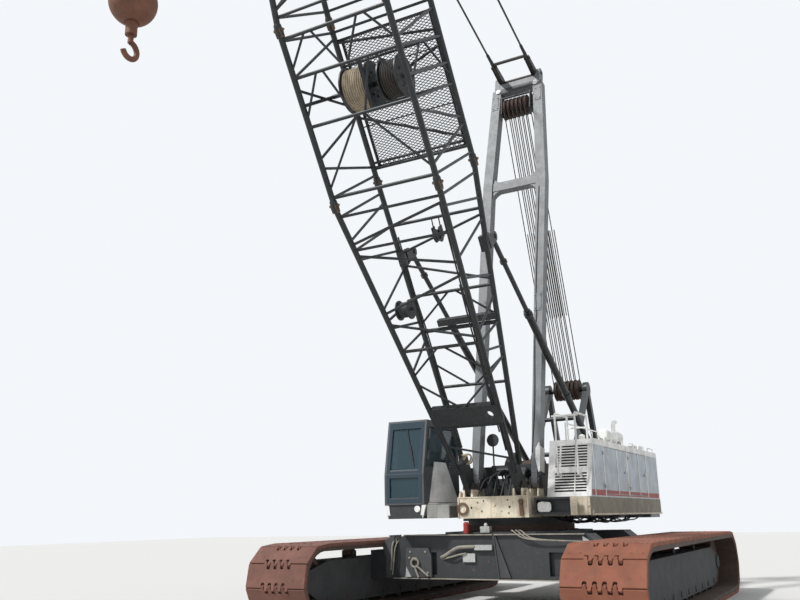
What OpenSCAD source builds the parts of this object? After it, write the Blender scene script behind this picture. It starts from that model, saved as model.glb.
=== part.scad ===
// Crawler crane with a tubular lattice boom held by a live mast.
// X points to the crane's front, Y to its left and Z up. The origin is on the ground below the slewing axis.

/* [Tracks] */
// Distance between the centre lines of the two tracks
track_gauge = 5540; // [5200:10:6000]
// Width of a track shoe
shoe_w = 1210; // [900:10:1280]
// Overall length of a track
track_len = 8450; // [8000:10:9000]
// Overall height of a track
track_h = 1250; // [1150:10:1350]
// Number of shoes in one track
shoe_count = 48; // [44:1:52]
// Width of the groove between two shoes
shoe_gap = 30; // [15:1:50]
// Depth of the groove between two shoes
groove_depth = 55; // [30:1:70]
// Distance from the outer face of the shoes to the rails that the rollers run on
link_t = 130; // [100:1:160]
// Radius of a lower track roller
roller_r = 150; // [110:1:170]
// Number of lower track rollers under one side frame
roller_count = 10; // [6:1:11]
// Radius of an upper carrier roller
carrier_r = 85; // [60:1:100]
// Radius of the axles of the rollers, idlers and sprockets
axle_r = 45; // [30:1:60]

/* [Side frames and carbody] */
// Width of a side frame over its two plates
frame_w = 500; // [400:10:600]
// Thickness of a side frame plate
frame_plate = 40; // [25:1:60]
// Height of the underside of the side frame's box
frame_z = 460; // [440:5:520]
// Height of the top of the side frame's box
frame_top = 940; // [880:5:960]
// Height of the carbody's underside
carbody_z = 540; // [450:10:650]
// Height of the carbody's top plate
carbody_top = 1370; // [1340:5:1400]
// Length of the carbody's centre box
carbody_len = 2700; // [2500:10:2900]
// Width of the carbody's centre box
carbody_w = 2300; // [2200:10:2600]
// Distance from the slewing axis to the middle of each cross beam
beam_x = 1230; // [1100:10:1300]
// Width of a cross beam
beam_w = 560; // [400:10:600]
// Height of a cross beam's low end, which passes under the upper run of the track
beam_end_top = 1060; // [900:10:1080]
// Outer radius of the slewing ring
ring_r = 1050; // [900:10:1100]
// Height of the joint between the fixed and the turning slewing ring
ring_joint_z = 1490; // [1450:5:1520]

/* [Revolving frame] */
// Height of the revolving frame's underside
deck_z = 1615; // [1600:5:1660]
// Height of the revolving frame's top
deck_top = 2000; // [1980:5:2060]
// Half the width of the front foot frame
foot_half_w = 690; // [660:5:700]
// Distance of the front face of the foot frame ahead of the slewing axis
foot_front = 1330; // [1310:5:1400]
// Distance of the rear face of the foot frame ahead of the slewing axis
foot_rear = 330; // [250:5:380]
// Half the width of the centre box of the revolving frame
bed_half_w = 560; // [500:5:620]
// Distance of the rear end of the revolving frame behind the slewing axis
bed_rear = 4650; // [4500:10:4800]
// Distance of the engine house's outer side from the centre line
side_y = 1740; // [1650:5:1800]
// Distance of the engine house's inner side from the centre line
house_in_y = 915; // [900:5:950]
// Height of the engine house floor
house_z = 1960; // [1930:5:2000]
// Height of the engine house roof
house_top = 3010; // [2900:10:3200]
// Distance of the front foot of the engine house ahead of the slewing axis
house_front = 920; // [850:10:1000]
// How far the top of the engine house's front leans back
house_rake = 340; // [0:10:400]
// Distance of the engine house's rear end behind the slewing axis
house_rear = 4570; // [4300:10:4650]
// Thickness of the engine house panels
panel_t = 40; // [25:1:60]
// Width of the front house door on the outer side
door_a_w = 1750; // [1000:10:1850]
// Width of the rear house door on the outer side
door_b_w = 1550; // [1000:10:1700]

/* [Cab] */
// Distance of the cab's outer side from the centre line
cab_out_y = 1930; // [1850:10:2050]
// Distance of the cab's inner side from the centre line
cab_in_y = 1090; // [1000:10:1150]
// Distance of the foot of the windscreen ahead of the slewing axis
cab_front = 1960; // [1800:10:2100]
// How far the top of the windscreen leans back
cab_rake = 200; // [0:10:300]
// Distance of the cab's rear wall ahead of the slewing axis
cab_rear = 420; // [300:10:600]
// Height of the cab floor's underside
cab_z = 1880; // [1800:10:1950]
// Height of the cab roof
cab_top = 3460; // [3300:10:3600]
// Thickness of the cab walls
cab_wall = 45; // [30:1:60]
// Thickness of the window glass
glass_t = 8; // [5:1:12]

/* [Boom] */
// Angle of the boom above level
boom_angle = 56.8; // [50:0.1:65]
// Distance of the boom's foot pin ahead of the slewing axis
boom_foot_x = 1180; // [1100:5:1200]
// Height of the boom's foot pin
boom_foot_z = 2140; // [2120:5:2200]
// Length of the base section from the foot pin
base_len = 5950; // [5800:10:6200]
// Length of the insert section
insert_len = 2880; // [2500:10:3100]
// Length of the tip section
tip_len = 7600; // [7000:10:7800]
// Half the distance between the chord centres across the boom
chord_y = 955; // [900:5:980]
// Half the distance between the chord centres through the boom's depth
chord_z = 850; // [780:5:880]
// Half the distance between the boom's two feet
boom_foot_y = 500; // [480:5:520]
// Radius of a chord tube
chord_r = 62; // [45:1:75]
// Radius of a lacing tube
lace_r = 30; // [20:1:40]
// Radius of the boom's foot pins
foot_pin_r = 55; // [40:1:70]
// Radius of a rope spool's flange
spool_r = 400; // [300:5:450]
// Radius of a tip sheave
tip_sheave_r = 300; // [250:5:350]

/* [Mast and rigging] */
// Angle of the mast above level
mast_angle = 102.3; // [95:0.1:110]
// Distance of the mast's foot pin ahead of the slewing axis
mast_foot_x = 600; // [560:5:640]
// Height of the mast's foot pin
mast_foot_z = 2250; // [2220:5:2300]
// Half the distance between the mast's feet
mast_foot_y = 600; // [590:5:610]
// Length of the mast from its foot pin to its head pin
mast_len = 9930; // [9500:10:10300]
// Half the distance between the legs at the mast's cross beam
mast_mid_y = 640; // [600:5:650]
// Half the distance between the legs at the mast's head
mast_head_y = 510; // [480:5:540]
// Width of a mast leg across the crane
leg_w = 220; // [180:5:240]
// Depth of a mast leg
leg_d = 240; // [180:5:280]
// Radius of the sheaves on the mast and the gantry
hoist_sheave_r = 240; // [200:5:280]
// Number of ropes in the boom hoist
rope_count = 12; // [8:1:12]
// Distance between two ropes of the boom hoist
rope_pitch = 52; // [50:1:60]
// Radius of a rope
rope_r = 12; // [8:1:14]
// Half the distance between the two pendants
pendant_y = 420; // [410:5:420]
// Distance of the gantry's sheave shaft behind the slewing axis
gantry_x = 3600; // [3400:10:3800]
// Height of the gantry's sheave shaft
gantry_z = 4560; // [4400:10:4700]
// Distance of the backstops from the centre line
backstop_y = 820; // [815:1:825]
// Radius of a backstop tube
backstop_r = 72; // [50:1:75]
// Diameter of the overhaul ball above the hook
ball_d = 510; // [400:10:600]
// Height of the overhaul ball's centre
ball_z = 7020; // [6500:10:7500]

/* [Hidden] */

// Gap between pieces that seat on each other
seat = 0.3;
// Running gap round a pin
fit = 0.08;
// Gap beside a moving piece
clear = 8;

// Colours
rust_red = "#8a5440";
rust_dark = "#5b4034";
frame_grey = "#6b7175";
boom_black = "#22262a";
mast_grey = "#a9aeac";
house_blue = "#b4c2cf";
house_white = "#e6e6e0";
cream = "#e6dcc4";
skirt_tan = "#8f8a7c";
dark_grey = "#33383c";
glass_blue = "#2c3f55";
rope_grey = "#4a4744";

// Track values
track_r = track_h / 2;
wheel_base = track_len - track_h;
pitch_r = track_r - link_t / 2;
loop_len = 2 * wheel_base + 2 * PI * pitch_r;
shoe_pitch = loop_len / shoe_count;
rail_r = track_r - link_t;
roller_z = link_t + seat + roller_r;
carrier_z = track_h - link_t - seat - carrier_r;
track_y = track_gauge / 2;
frame_in_y = track_y - frame_w / 2;

// Boom values
boom_len = base_len + insert_len + tip_len;
tip_x = boom_foot_x + boom_len * cos(boom_angle);
tip_z = boom_foot_z + boom_len * sin(boom_angle);
spool_u = base_len + 0.58 * insert_len;
spool_n = 200;
foot_start = 430;

// Mast values
head_x = mast_foot_x + mast_len * cos(mast_angle);
head_z = mast_foot_z + mast_len * sin(mast_angle);
mast_mid_u = 6850;
mast_sheave_u = mast_len - 850;
mast_sheave_x = mast_foot_x + mast_sheave_u * cos(mast_angle);
mast_sheave_z = mast_foot_z + mast_sheave_u * sin(mast_angle);

// Backstop values: the foot pin on the bed and the eye on the boom's rear side
stop_foot = [-3500, backstop_y, 2400];
eye_u = 4500;
eye_n = 1080;
stop_eye = [
    boom_foot_x + eye_u * cos(boom_angle) - eye_n * sin(boom_angle),
    backstop_y,
    boom_foot_z + eye_u * sin(boom_angle) + eye_n * cos(boom_angle)
];
stop_len = norm(stop_eye - stop_foot);
stop_angle = atan2(stop_eye[2] - stop_foot[2], stop_eye[0] - stop_foot[0]);
stop_tube_len = stop_len - 1900;
stop_rod_len = 3700;
stop_rod_r = 45;
stop_pin_r = 40;

// A straight round tube from one point to another
module tube(p, q, r, fn = 20) {
    v = q - p;
    translate(p)
        rotate([0, acos(v[2] / norm(v)), atan2(v[1], v[0])])
            cylinder(r = r, h = norm(v), $fn = fn);
}

// A block given by its lowest and highest corners
module block(low, high) {
    translate(low)
        cube(high - low);
}

// A plate whose outline lies in the X-Z plane, centred on one value of Y
module plate_xz(y, t) {
    translate([0, y + t / 2, 0])
        rotate([90, 0, 0])
            linear_extrude(height = t)
                children();
}

// A cylinder along Y, centred on one value of Y
module shaft_y(x, y, z, r, w, fn = 48) {
    translate([x, y + w / 2, z])
        rotate([90, 0, 0])
            cylinder(r = r, h = w, $fn = fn);
}

// Both sides of the crane
module both_sides() {
    children();
    mirror([0, 1, 0])
        children();
}

// The boom's own frame: X along the boom, Z through its depth towards its rear face
module in_boom() {
    translate([boom_foot_x, 0, boom_foot_z])
        rotate([0, -boom_angle, 0])
            children();
}

// The mast's own frame: X along the mast
module in_mast() {
    translate([mast_foot_x, 0, mast_foot_z])
        rotate([0, -mast_angle, 0])
            children();
}

// A point of the track's loop, at a distance along the pitch line and a height over it
function loop_point(s, off) =
    let (
        arc = PI * pitch_r,
        r = pitch_r + off,
        half = wheel_base / 2,
        d = s - loop_len * floor(s / loop_len)
    )
    d < wheel_base ? [d - half, track_r + r] :
    d < wheel_base + arc ?
        let (a = (d - wheel_base) / pitch_r * 180 / PI)
        [half + r * sin(a), track_r + r * cos(a)] :
    d < 2 * wheel_base + arc ? [half - (d - wheel_base - arc), track_r - r] :
        let (a = (d - 2 * wheel_base - arc) / pitch_r * 180 / PI)
        [-half - r * sin(a), track_r - r * cos(a)];

module track(side) {
    outer = [
        for (i = [0:shoe_count - 1])
            let (s = i * shoe_pitch, g = shoe_gap / 2, top = link_t / 2, low = link_t / 2 - groove_depth)
            each [
                loop_point(s + g, top),
                loop_point(s + shoe_pitch - g, top),
                loop_point(s + shoe_pitch - g, low),
                loop_point(s + shoe_pitch + g, low)
            ]
    ];
    inner = [for (i = [0:2 * shoe_count - 1]) loop_point(i * shoe_pitch / 2, -link_t / 2)];
    color(rust_red)
        plate_xz(side * track_y, shoe_w)
            polygon(
                concat(outer, inner),
                [
                    [for (i = [0:len(outer) - 1]) i],
                    [for (i = [0:len(inner) - 1]) len(outer) + i]
                ]
            );
}

// One plate of a side frame: a beam with bearing ends for the sprocket and the idler
module side_plate_outline() {
    half = wheel_base / 2;
    difference() {
        union() {
            polygon([
                [-half - 60, track_r - 150], [-half + 500, roller_z - 90], [half - 500, roller_z - 90],
                [half + 60, track_r - 150], [half + 60, track_r + 150], [half - 650, frame_top],
                [-half + 650, frame_top], [-half - 60, track_r + 150]
            ]);
            for (x = [-half, half])
                translate([x, track_r])
                    circle(r = 170, $fn = 48);
        }
        for (x = [-half, half])
            translate([x, track_r])
                circle(r = axle_r + fit, $fn = 32);
        for (i = [0:roller_count - 1])
            translate([roller_x(i), roller_z])
                circle(r = axle_r + fit, $fn = 32);
    }
}

function roller_x(i) = -wheel_base / 2 + 620 + i * (wheel_base - 1240) / (roller_count - 1);

module side_frame(side) {
    color(frame_grey) {
        for (y = [-1, 1] * (frame_w - frame_plate) / 2)
            plate_xz(side * track_y + y, frame_plate)
                side_plate_outline();
        plate_xz(side * track_y, frame_w - 2 * frame_plate + 2)
            difference() {
                polygon([
                    [-wheel_base / 2 + 650, frame_z], [wheel_base / 2 - 650, frame_z],
                    [wheel_base / 2 - 650, frame_top], [-wheel_base / 2 + 650, frame_top]
                ]);
                polygon([
                    [-wheel_base / 2 + 690, frame_z + 40], [wheel_base / 2 - 690, frame_z + 40],
                    [wheel_base / 2 - 690, frame_top - 40], [-wheel_base / 2 + 690, frame_top - 40]
                ]);
            }
        // Pedestals of the carrier rollers
        for (x = carrier_places, y = [-1, 1] * 110)
            difference() {
                block(
                    [x - 60, side * track_y + y - 15, frame_top - 1],
                    [x + 60, side * track_y + y + 15, carrier_z + 35]
                );
                shaft_y(x, side * track_y + y, carrier_z, 25 + fit, 60, 32);
            }
    }
}

carrier_places = [-1900, 0, 1900];

module track_rollers() {
    w = frame_w - 2 * frame_plate - 2 * clear;
    color(rust_dark)
        for (side = [-1, 1], i = [0:roller_count - 1]) {
            shaft_y(roller_x(i), side * track_y, roller_z, roller_r, w);
            shaft_y(roller_x(i), side * track_y, roller_z, axle_r, frame_w + 20, 32);
        }
}

module carrier_rollers() {
    color(rust_dark)
        for (side = [-1, 1], x = carrier_places) {
            shaft_y(x, side * track_y, carrier_z, carrier_r, 170);
            shaft_y(x, side * track_y, carrier_z, 25, 270, 32);
        }
}

module front_idlers() {
    w = frame_w - 2 * frame_plate - 2 * clear;
    color(rust_dark)
        for (side = [-1, 1]) {
            difference() {
                shaft_y(wheel_base / 2, side * track_y, track_r, idler_r, w, 64);
                for (e = [-1, 1])
                    translate([0, side * track_y + e * w / 2, 0])
                        shaft_y(wheel_base / 2, 0, track_r, idler_r - 90, 120, 64);
            }
            shaft_y(wheel_base / 2, side * track_y, track_r, 110, w + 4, 48);
            shaft_y(wheel_base / 2, side * track_y, track_r, axle_r, frame_w + 40, 32);
        }
}

// The rails bend into chords of half a shoe, so the wheels inside them are a little smaller
idler_r = rail_r * cos(90 * shoe_pitch / (PI * pitch_r)) - seat;

module drive_sprockets() {
    w = frame_w - 2 * frame_plate - 2 * clear;
    teeth = 14;
    color(rust_dark)
        for (side = [-1, 1]) {
            difference() {
                shaft_y(-wheel_base / 2, side * track_y, track_r, idler_r, w, 64);
                for (i = [0:teeth - 1])
                    translate([-wheel_base / 2, 0, track_r])
                        rotate([0, i * 360 / teeth, 0])
                            shaft_y(idler_r + 20, side * track_y, 0, 62, w + 2, 24);
            }
            shaft_y(-wheel_base / 2, side * track_y, track_r, axle_r, frame_w + 40, 32);
            // Final drive housing on the inner side
            shaft_y(-wheel_base / 2, side * (frame_in_y - 91), track_r, 260, 180, 48);
        }
}

module cross_beam(x) {
    // Outline across the crane: deep in the middle, low where it passes under the upper run
    step_y = track_y - shoe_w / 2 - 60;
    low_y = frame_in_y - seat;
    translate([x + beam_w / 2, 0, 0])
        rotate([90, 0, -90])
            linear_extrude(height = beam_w)
                polygon([
                    [-low_y, carbody_z], [low_y, carbody_z], [low_y, beam_end_top], [step_y, beam_end_top],
                    [step_y - 330, carbody_top - 40], [330 - step_y, carbody_top - 40],
                    [-step_y, beam_end_top], [-low_y, beam_end_top]
                ]);
}

module carbody() {
    l = carbody_len / 2;
    w = carbody_w / 2;
    color(dark_grey) {
        difference() {
            union() {
                translate([0, 0, carbody_z])
                    linear_extrude(height = carbody_top - carbody_z)
                        polygon([
                            [-l, 350 - w], [-l + 350, -w], [l - 350, -w], [l, 350 - w],
                            [l, w - 350], [l - 350, w], [350 - l, w], [-l, w - 350]
                        ]);
                for (x = [-beam_x, beam_x])
                    cross_beam(x);
            }
            // The beams are open boxes on their faces
            for (sx = [-1, 1], y = [-1400, 1400])
                translate([sx * (beam_x + beam_w / 2), y, (carbody_z + beam_end_top) / 2 + 20])
                    cube([180, 620, 400], center = true);
            translate([0, 0, carbody_z - 1])
                cylinder(r = 420, h = carbody_top, $fn = 64);
        }
    }
}

module slewing_ring() {
    color(rust_dark)
        difference() {
            translate([0, 0, carbody_top + seat])
                cylinder(r = ring_r, h = ring_joint_z - carbody_top - seat, $fn = 96);
            translate([0, 0, carbody_top])
                cylinder(r = ring_r - 180, h = 200, $fn = 96);
        }
}

module turntable() {
    color(dark_grey)
        difference() {
            union() {
                translate([0, 0, ring_joint_z + seat])
                    cylinder(r = ring_r - 40, h = deck_z - ring_joint_z - 2 * seat, $fn = 96);
                translate([0, 0, deck_z - 50])
                    cylinder(r = ring_r + 60, h = 50 - seat, $fn = 96);
            }
            translate([0, 0, ring_joint_z])
                cylinder(r = ring_r - 250, h = 200, $fn = 96);
        }
}

module bed() {
    rear = -bed_rear;
    color(skirt_tan) {
        difference() {
            block([rear, -bed_half_w, deck_z], [foot_rear - seat, bed_half_w, deck_top]);
            block([rear + 60, 60 - bed_half_w, deck_z - 1], [foot_rear - 60, bed_half_w - 60, deck_top - 60]);
        }
        // Outriggers that carry the side decks
        for (x = [-4300, -2900, -1500, -100]) {
            block([x - 60, bed_half_w - 61, deck_z + 60], [x + 60, side_y - 60, house_z - 30 - seat]);
            block([x - 60, 60 - side_y, deck_z + 60], [x + 60, 61 - bed_half_w, cab_z - 30 - seat]);
        }
        // Seats of the backstops, each a side plate with a pin
        both_sides() {
            block(
                [stop_foot[0] - 150, bed_half_w - 61, deck_z + 60],
                [stop_foot[0] + 150, backstop_y - 80, deck_z + 220]
            );
            plate_xz(backstop_y - 98, 36)
                lug_outline(stop_foot[0], stop_foot[2], 90, 150, deck_z + 200, 20);
            shaft_y(stop_foot[0], backstop_y - 30, stop_foot[2], stop_pin_r, 172, 32);
        }
    }
}

module lug_outline(x, z, r, half, low, bore) {
    difference() {
        union() {
            translate([x, z])
                circle(r = r, $fn = 48);
            polygon([[x - half, low], [x + half, low], [x + r * 0.94, z], [x - r * 0.94, z]]);
        }
        translate([x, z])
            circle(r = bore, $fn = 48);
    }
}

module foot_frame() {
    color(cream) {
        difference() {
            block([foot_rear, -foot_half_w, deck_z], [foot_front, foot_half_w, deck_top]);
            block([foot_rear - 1, 60 - foot_half_w, deck_z + 60], [foot_front - 40, foot_half_w - 60, deck_top - 60]);
            for (y = [-430, 330])
                shaft_x(foot_front, y, deck_z + 190, 22, 200);
        }
        both_sides() {
            // Clevis of a boom foot, with its pin
            for (y = [-1, 1] * (boom_lug_t / 2 + clear + 20))
                plate_xz(boom_foot_y + y, 40)
                    lug_outline(boom_foot_x, boom_foot_z, 130, 145, deck_top - 5, foot_pin_r);
            shaft_y(boom_foot_x, boom_foot_y, boom_foot_z, foot_pin_r, boom_lug_t + 2 * clear + 110, 48);
            // Clevis of a mast foot, with its pin
            for (y = [-1, 1] * (mast_lug_t / 2 + clear + 15))
                plate_xz(mast_foot_y + y, 30)
                    lug_outline(mast_foot_x, mast_foot_z, 120, 160, deck_top - 5, mast_pin_r);
            shaft_y(mast_foot_x, mast_foot_y, mast_foot_z, mast_pin_r, mast_lug_t + 2 * clear + 70, 48);
        }
    }
}

boom_lug_t = 110;
mast_lug_t = 110;
mast_pin_r = 45;

module shaft_x(x, y, z, r, w, fn = 32) {
    translate([x - w / 2, y, z])
        rotate([0, 90, 0])
            cylinder(r = r, h = w, $fn = fn);
}

module deck_left() {
    color(skirt_tan)
        difference() {
            block([-house_rear, house_in_y - 60, deck_z + 15], [house_front + 130, side_y + 10, house_z - seat]);
            block(
                [-house_rear + 30, house_in_y - 61, deck_z],
                [house_front + 100, side_y - 20, house_z - 30]
            );
        }
}

module deck_right() {
    color(skirt_tan)
        difference() {
            block([-house_rear, -cab_out_y, deck_z + 15], [cab_rear + 1000, -house_in_y + 60, cab_z - seat]);
            block([-house_rear + 30, 30 - cab_out_y, deck_z], [cab_rear + 970, -house_in_y + 61, cab_z - 30]);
        }
}

module front_bumper() {
    color(dark_grey)
        difference() {
            block([house_front + 130 + seat, 760, deck_z + 40], [house_front + 280, 1480, deck_top - 40]);
            block([house_front + 170, 800, deck_z + 80], [house_front + 300, 1440, deck_top - 80]);
        }
}

// Places of a door's hinges up its edge
hinge_up = [0.15, 0.85];

// The frame's half of the hinges: pins held between two ears, at an upright edge of a doorway
module hinge_pins(x, y, z0, z1) {
    for (t = hinge_up)
        translate([x, y + 16, z0 + (z1 - z0) * t]) {
            translate([0, 0, -60])
                cylinder(r = 9, h = 120, $fn = 24);
            for (z = [-60, 36]) {
                translate([0, 0, z])
                    cylinder(r = 14, h = 24, $fn = 24);
                block([4, -17, z], [44, 8, z + 24]);
            }
        }
}

// The door's half of the hinges: knuckles on leaves
module hinge_knuckles(x, y, z0, z1) {
    for (t = hinge_up)
        translate([x, y + 16, z0 + (z1 - z0) * t])
            difference() {
                union() {
                    translate([0, 0, -34])
                        cylinder(r = 14, h = 68, $fn = 24);
                    block([-70, -18, -34], [-5, -6, 34]);
                }
                translate([0, 0, -40])
                    cylinder(r = 9 + fit, h = 80, $fn = 24);
            }
}

// Side outline of the engine house
module house_outline(inset = 0) {
    polygon([
        [-house_rear + inset, house_z + inset], [house_front - inset, house_z + inset],
        [house_front - house_rake - inset, house_top - inset], [-house_rear + inset, house_top - inset]
    ]);
}

door_a_x = 0;
door_b_x = door_a_x - door_a_w - 120;
door_z0 = house_z + 60;
door_z1 = house_top - 110;

module house_shell() {
    w = side_y - house_in_y;
    mid = (side_y + house_in_y) / 2;
    color(house_white) {
        difference() {
            plate_xz(mid, w)
                house_outline();
            plate_xz(mid, w - 2 * panel_t)
                house_outline(panel_t);
            // Doorways of the outer side
            block([door_a_x - door_a_w, side_y - 2 * panel_t, door_z0], [door_a_x, side_y + 50, door_z1]);
            block([door_b_x - door_b_w, side_y - 2 * panel_t, door_z0], [door_b_x, side_y + 50, door_z1]);
            // Louvres of the front, cut as level slots in two groups
            for (i = [0:7])
                block(
                    [house_front - house_rake - 200, house_in_y + 130, house_z + 545 + i * 52],
                    [house_front + 50, side_y - 90, house_z + 575 + i * 52]
                );
            for (i = [0:6])
                block(
                    [house_front - house_rake - 200, house_in_y + 130, house_z + 90 + i * 52],
                    [house_front + 50, side_y - 90, house_z + 120 + i * 52]
                );
        }
        hinge_pins(door_a_x, side_y, door_z0, door_z1);
        hinge_pins(door_b_x, side_y, door_z0, door_z1);
    }
}

module house_door(x0, x1) {
    color(house_blue) {
        block([x0 + clear, side_y - panel_t, door_z0 + clear], [x1 - clear, side_y, door_z1 - clear]);
        hinge_knuckles(x1, side_y, door_z0, door_z1);
        // Handle
        block([x0 + 90, side_y - 1, door_z0 + 420], [x0 + 250, side_y + 28, door_z0 + 450]);
    }
}

module house_door_front() {
    house_door(door_a_x - door_a_w, door_a_x);
}

module house_door_rear() {
    house_door(door_b_x - door_b_w, door_b_x);
}

module engine() {
    color(dark_grey)
        block(
            [-3600, house_in_y + 130, house_z + panel_t + seat],
            [-900, side_y - 130, house_top - panel_t - 180]
        );
}

module muffler() {
    color(house_white) {
        shaft_x(-1500, 1330, house_top + 170, 120, 900, 32);
        translate([-1900, 1330, house_top + 170])
            cylinder(r = 45, h = 330, $fn = 24);
        for (x = [-1800, -1200])
            block([x - 20, 1270, house_top + seat], [x + 20, 1390, house_top + 120]);
    }
}

// A middle block and two side blocks with a lifting socket each
module counterweight() {
    rear = bed_rear + 950;
    mid_half_w = 540;
    color(mast_grey) {
        block([-rear, -mid_half_w, deck_z - 60], [-bed_rear - seat, mid_half_w, 2350]);
        both_sides()
            difference() {
                union() {
                    block([-rear, mid_half_w + seat, deck_z - 60], [-bed_rear - seat, 1480, 2350]);
                    block([-rear + 80, mid_half_w + seat, 2350 - 1], [-bed_rear - seat, 1400, 2900]);
                }
                shaft_x(-rear, 900, 2050, 60, 300);
            }
    }
}

gantry_foot_front = -1700;
gantry_foot_rear = -4450;
gantry_y = 470;
gantry_pin_z = deck_top + 115;

// A flat leg of the gantry, from a foot on the deck to the head
module gantry_leg(x) {
    v = [-gantry_x - x, gantry_z - gantry_pin_z];
    side = [v[1], -v[0]] * 75 / norm(v);
    polygon([
        [x, gantry_pin_z] + side, [x, gantry_pin_z] - side,
        [-gantry_x, gantry_z] - side, [-gantry_x, gantry_z] + side
    ]);
}

module gantry() {
    color(boom_black) {
        both_sides() {
            plate_xz(gantry_y, 110) {
                gantry_leg(gantry_foot_front);
                gantry_leg(gantry_foot_rear);
                translate([-gantry_x, gantry_z])
                    circle(r = 165, $fn = 40);
            }
            for (x = [gantry_foot_front, gantry_foot_rear])
                plate_xz(gantry_y, 150)
                    lug_outline(x, gantry_pin_z, 110, 150, deck_top + seat, 20);
        }
        shaft_y(-gantry_x, 0, gantry_z, 55, 2 * gantry_y, 32);
        for (t = [0.35, 0.7])
            shaft_y(
                gantry_foot_front - (gantry_x + gantry_foot_front) * t, 0,
                gantry_pin_z + (gantry_z - gantry_pin_z) * t, 50, 2 * gantry_y, 24
            );
    }
}

// A grooved sheave on a shaft along Y, with a bore
module sheave(r, w, bore) {
    rotate([90, 0, 0])
        rotate_extrude($fn = 64)
            polygon([
                [bore, -w / 2], [r, -w / 2], [r, -w / 2 + 5], [r - groove, -rope_r - 2], [r - groove, rope_r + 2],
                [r, w / 2 - 5], [r, w / 2], [bore, w / 2]
            ]);
}

groove = 26;
// Distance of a rope's centre from the axis of the sheave it runs on
rope_off = hoist_sheave_r - groove + rope_r + seat;
sheave_count = rope_count / 2;

// A row of boom hoist sheaves, shifted along its shaft
module sheave_row(shift, bore) {
    for (i = [0:sheave_count - 1])
        translate([0, (i - (sheave_count - 1) / 2) * 2 * rope_pitch + shift, 0])
            sheave(hoist_sheave_r, 2 * rope_pitch - 34, bore);
}

module gantry_sheaves() {
    color(rust_dark)
        translate([-gantry_x, 0, gantry_z])
            sheave_row(rope_pitch / 2, 55 + fit);
}

// Winch drums: distance ahead of the slewing axis, height, drum radius
WINCHES = [[-500, 2480, 260], [-1750, 2480, 260], [-2950, 2430, 220]];
DRUM_X = 0;
DRUM_Z = 1;
DRUM_R = 2;
drum_half_w = 340;

module winch_frame() {
    color(dark_grey)
        for (s = [-1, 1], w = WINCHES)
            plate_xz(s * (drum_half_w + 30), 30)
                lug_outline(w[DRUM_X], w[DRUM_Z], 150, 330, deck_top + seat, 50);
}

module winch_drums() {
    color(rust_dark)
        for (w = WINCHES)
            translate([w[DRUM_X], 0, w[DRUM_Z]])
                rotate([90, 0, 0])
                    rotate_extrude($fn = 64)
                        polygon([
                            [0, -drum_half_w - 60], [50 - fit, -drum_half_w - 60], [50 - fit, 4 - drum_half_w],
                            [w[DRUM_R] + 110, 4 - drum_half_w], [w[DRUM_R] + 110, 34 - drum_half_w],
                            [w[DRUM_R], 34 - drum_half_w], [w[DRUM_R], drum_half_w - 34],
                            [w[DRUM_R] + 110, drum_half_w - 34], [w[DRUM_R] + 110, drum_half_w - 4],
                            [50 - fit, drum_half_w - 4], [50 - fit, drum_half_w + 60], [0, drum_half_w + 60]
                        ]);
}

// Side outline of the cab
module cab_outline(inset = 0) {
    polygon([
        [cab_rear + inset, cab_z + inset], [cab_front - inset, cab_z + inset],
        [cab_front, cab_z + 560] - [inset, 0], [cab_front - cab_rake - inset, cab_top - inset],
        [cab_rear + inset, cab_top - inset]
    ]);
}

cab_mid_y = -(cab_out_y + cab_in_y) / 2;
cab_w = cab_out_y - cab_in_y;
divider_z = cab_z + 600;
sill_z = cab_z + 700;
cab_door_x0 = cab_rear + 90;
cab_door_x1 = cab_rear + 900;
cab_door_z0 = cab_z + 60;
cab_door_z1 = cab_top - 110;

// Window openings of the cab
module cab_windows() {
    // Windscreen, above and below its divider
    block([cab_front - 480, 85 - cab_out_y, cab_z + 130], [cab_front + 60, -cab_in_y - 85, divider_z]);
    block([cab_front - 480, 85 - cab_out_y, divider_z + 45], [cab_front + 60, -cab_in_y - 85, cab_top - 130]);
}

module cab_shell() {
    color(mast_grey) {
        difference() {
            plate_xz(cab_mid_y, cab_w)
                cab_outline();
            plate_xz(cab_mid_y, cab_w - 2 * cab_wall)
                cab_outline(cab_wall);
            cab_windows();
            // Window of the inner side
            plate_xz(-cab_in_y, 4 * cab_wall)
                cab_side_window(cab_rear + 130);
            // Window of the outer side, ahead of the door
            plate_xz(-cab_out_y, 4 * cab_wall)
                cab_side_window(cab_door_x1 + 70);
            // Rear window
            block([cab_rear - 50, -cab_out_y + 140, cab_z + 700], [cab_rear + 80, -cab_in_y - 140, cab_top - 160]);
            // Doorway
            block([cab_door_x0, -cab_out_y - 50, cab_door_z0], [cab_door_x1, -cab_out_y + 2 * cab_wall, cab_door_z1]);
        }
        mirror([0, 1, 0])
            hinge_pins(cab_door_x1, cab_out_y, cab_door_z0, cab_door_z1);
        // Apron below the windscreen
        difference() {
            block([cab_rear + 1000 + seat, -cab_out_y + 20, deck_z + 60], [cab_front - 60, -cab_in_y - 20, cab_z + 1]);
            block([cab_rear + 1040, -cab_out_y + 60, deck_z + 50], [cab_front - 100, -cab_in_y - 60, cab_z - 20]);
        }
    }
}

module cab_side_window(x0) {
    polygon([
        [x0, sill_z], [cab_front - 120, sill_z], [cab_front - cab_rake - 70, cab_top - 130],
        [x0, cab_top - 130]
    ]);
}

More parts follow.
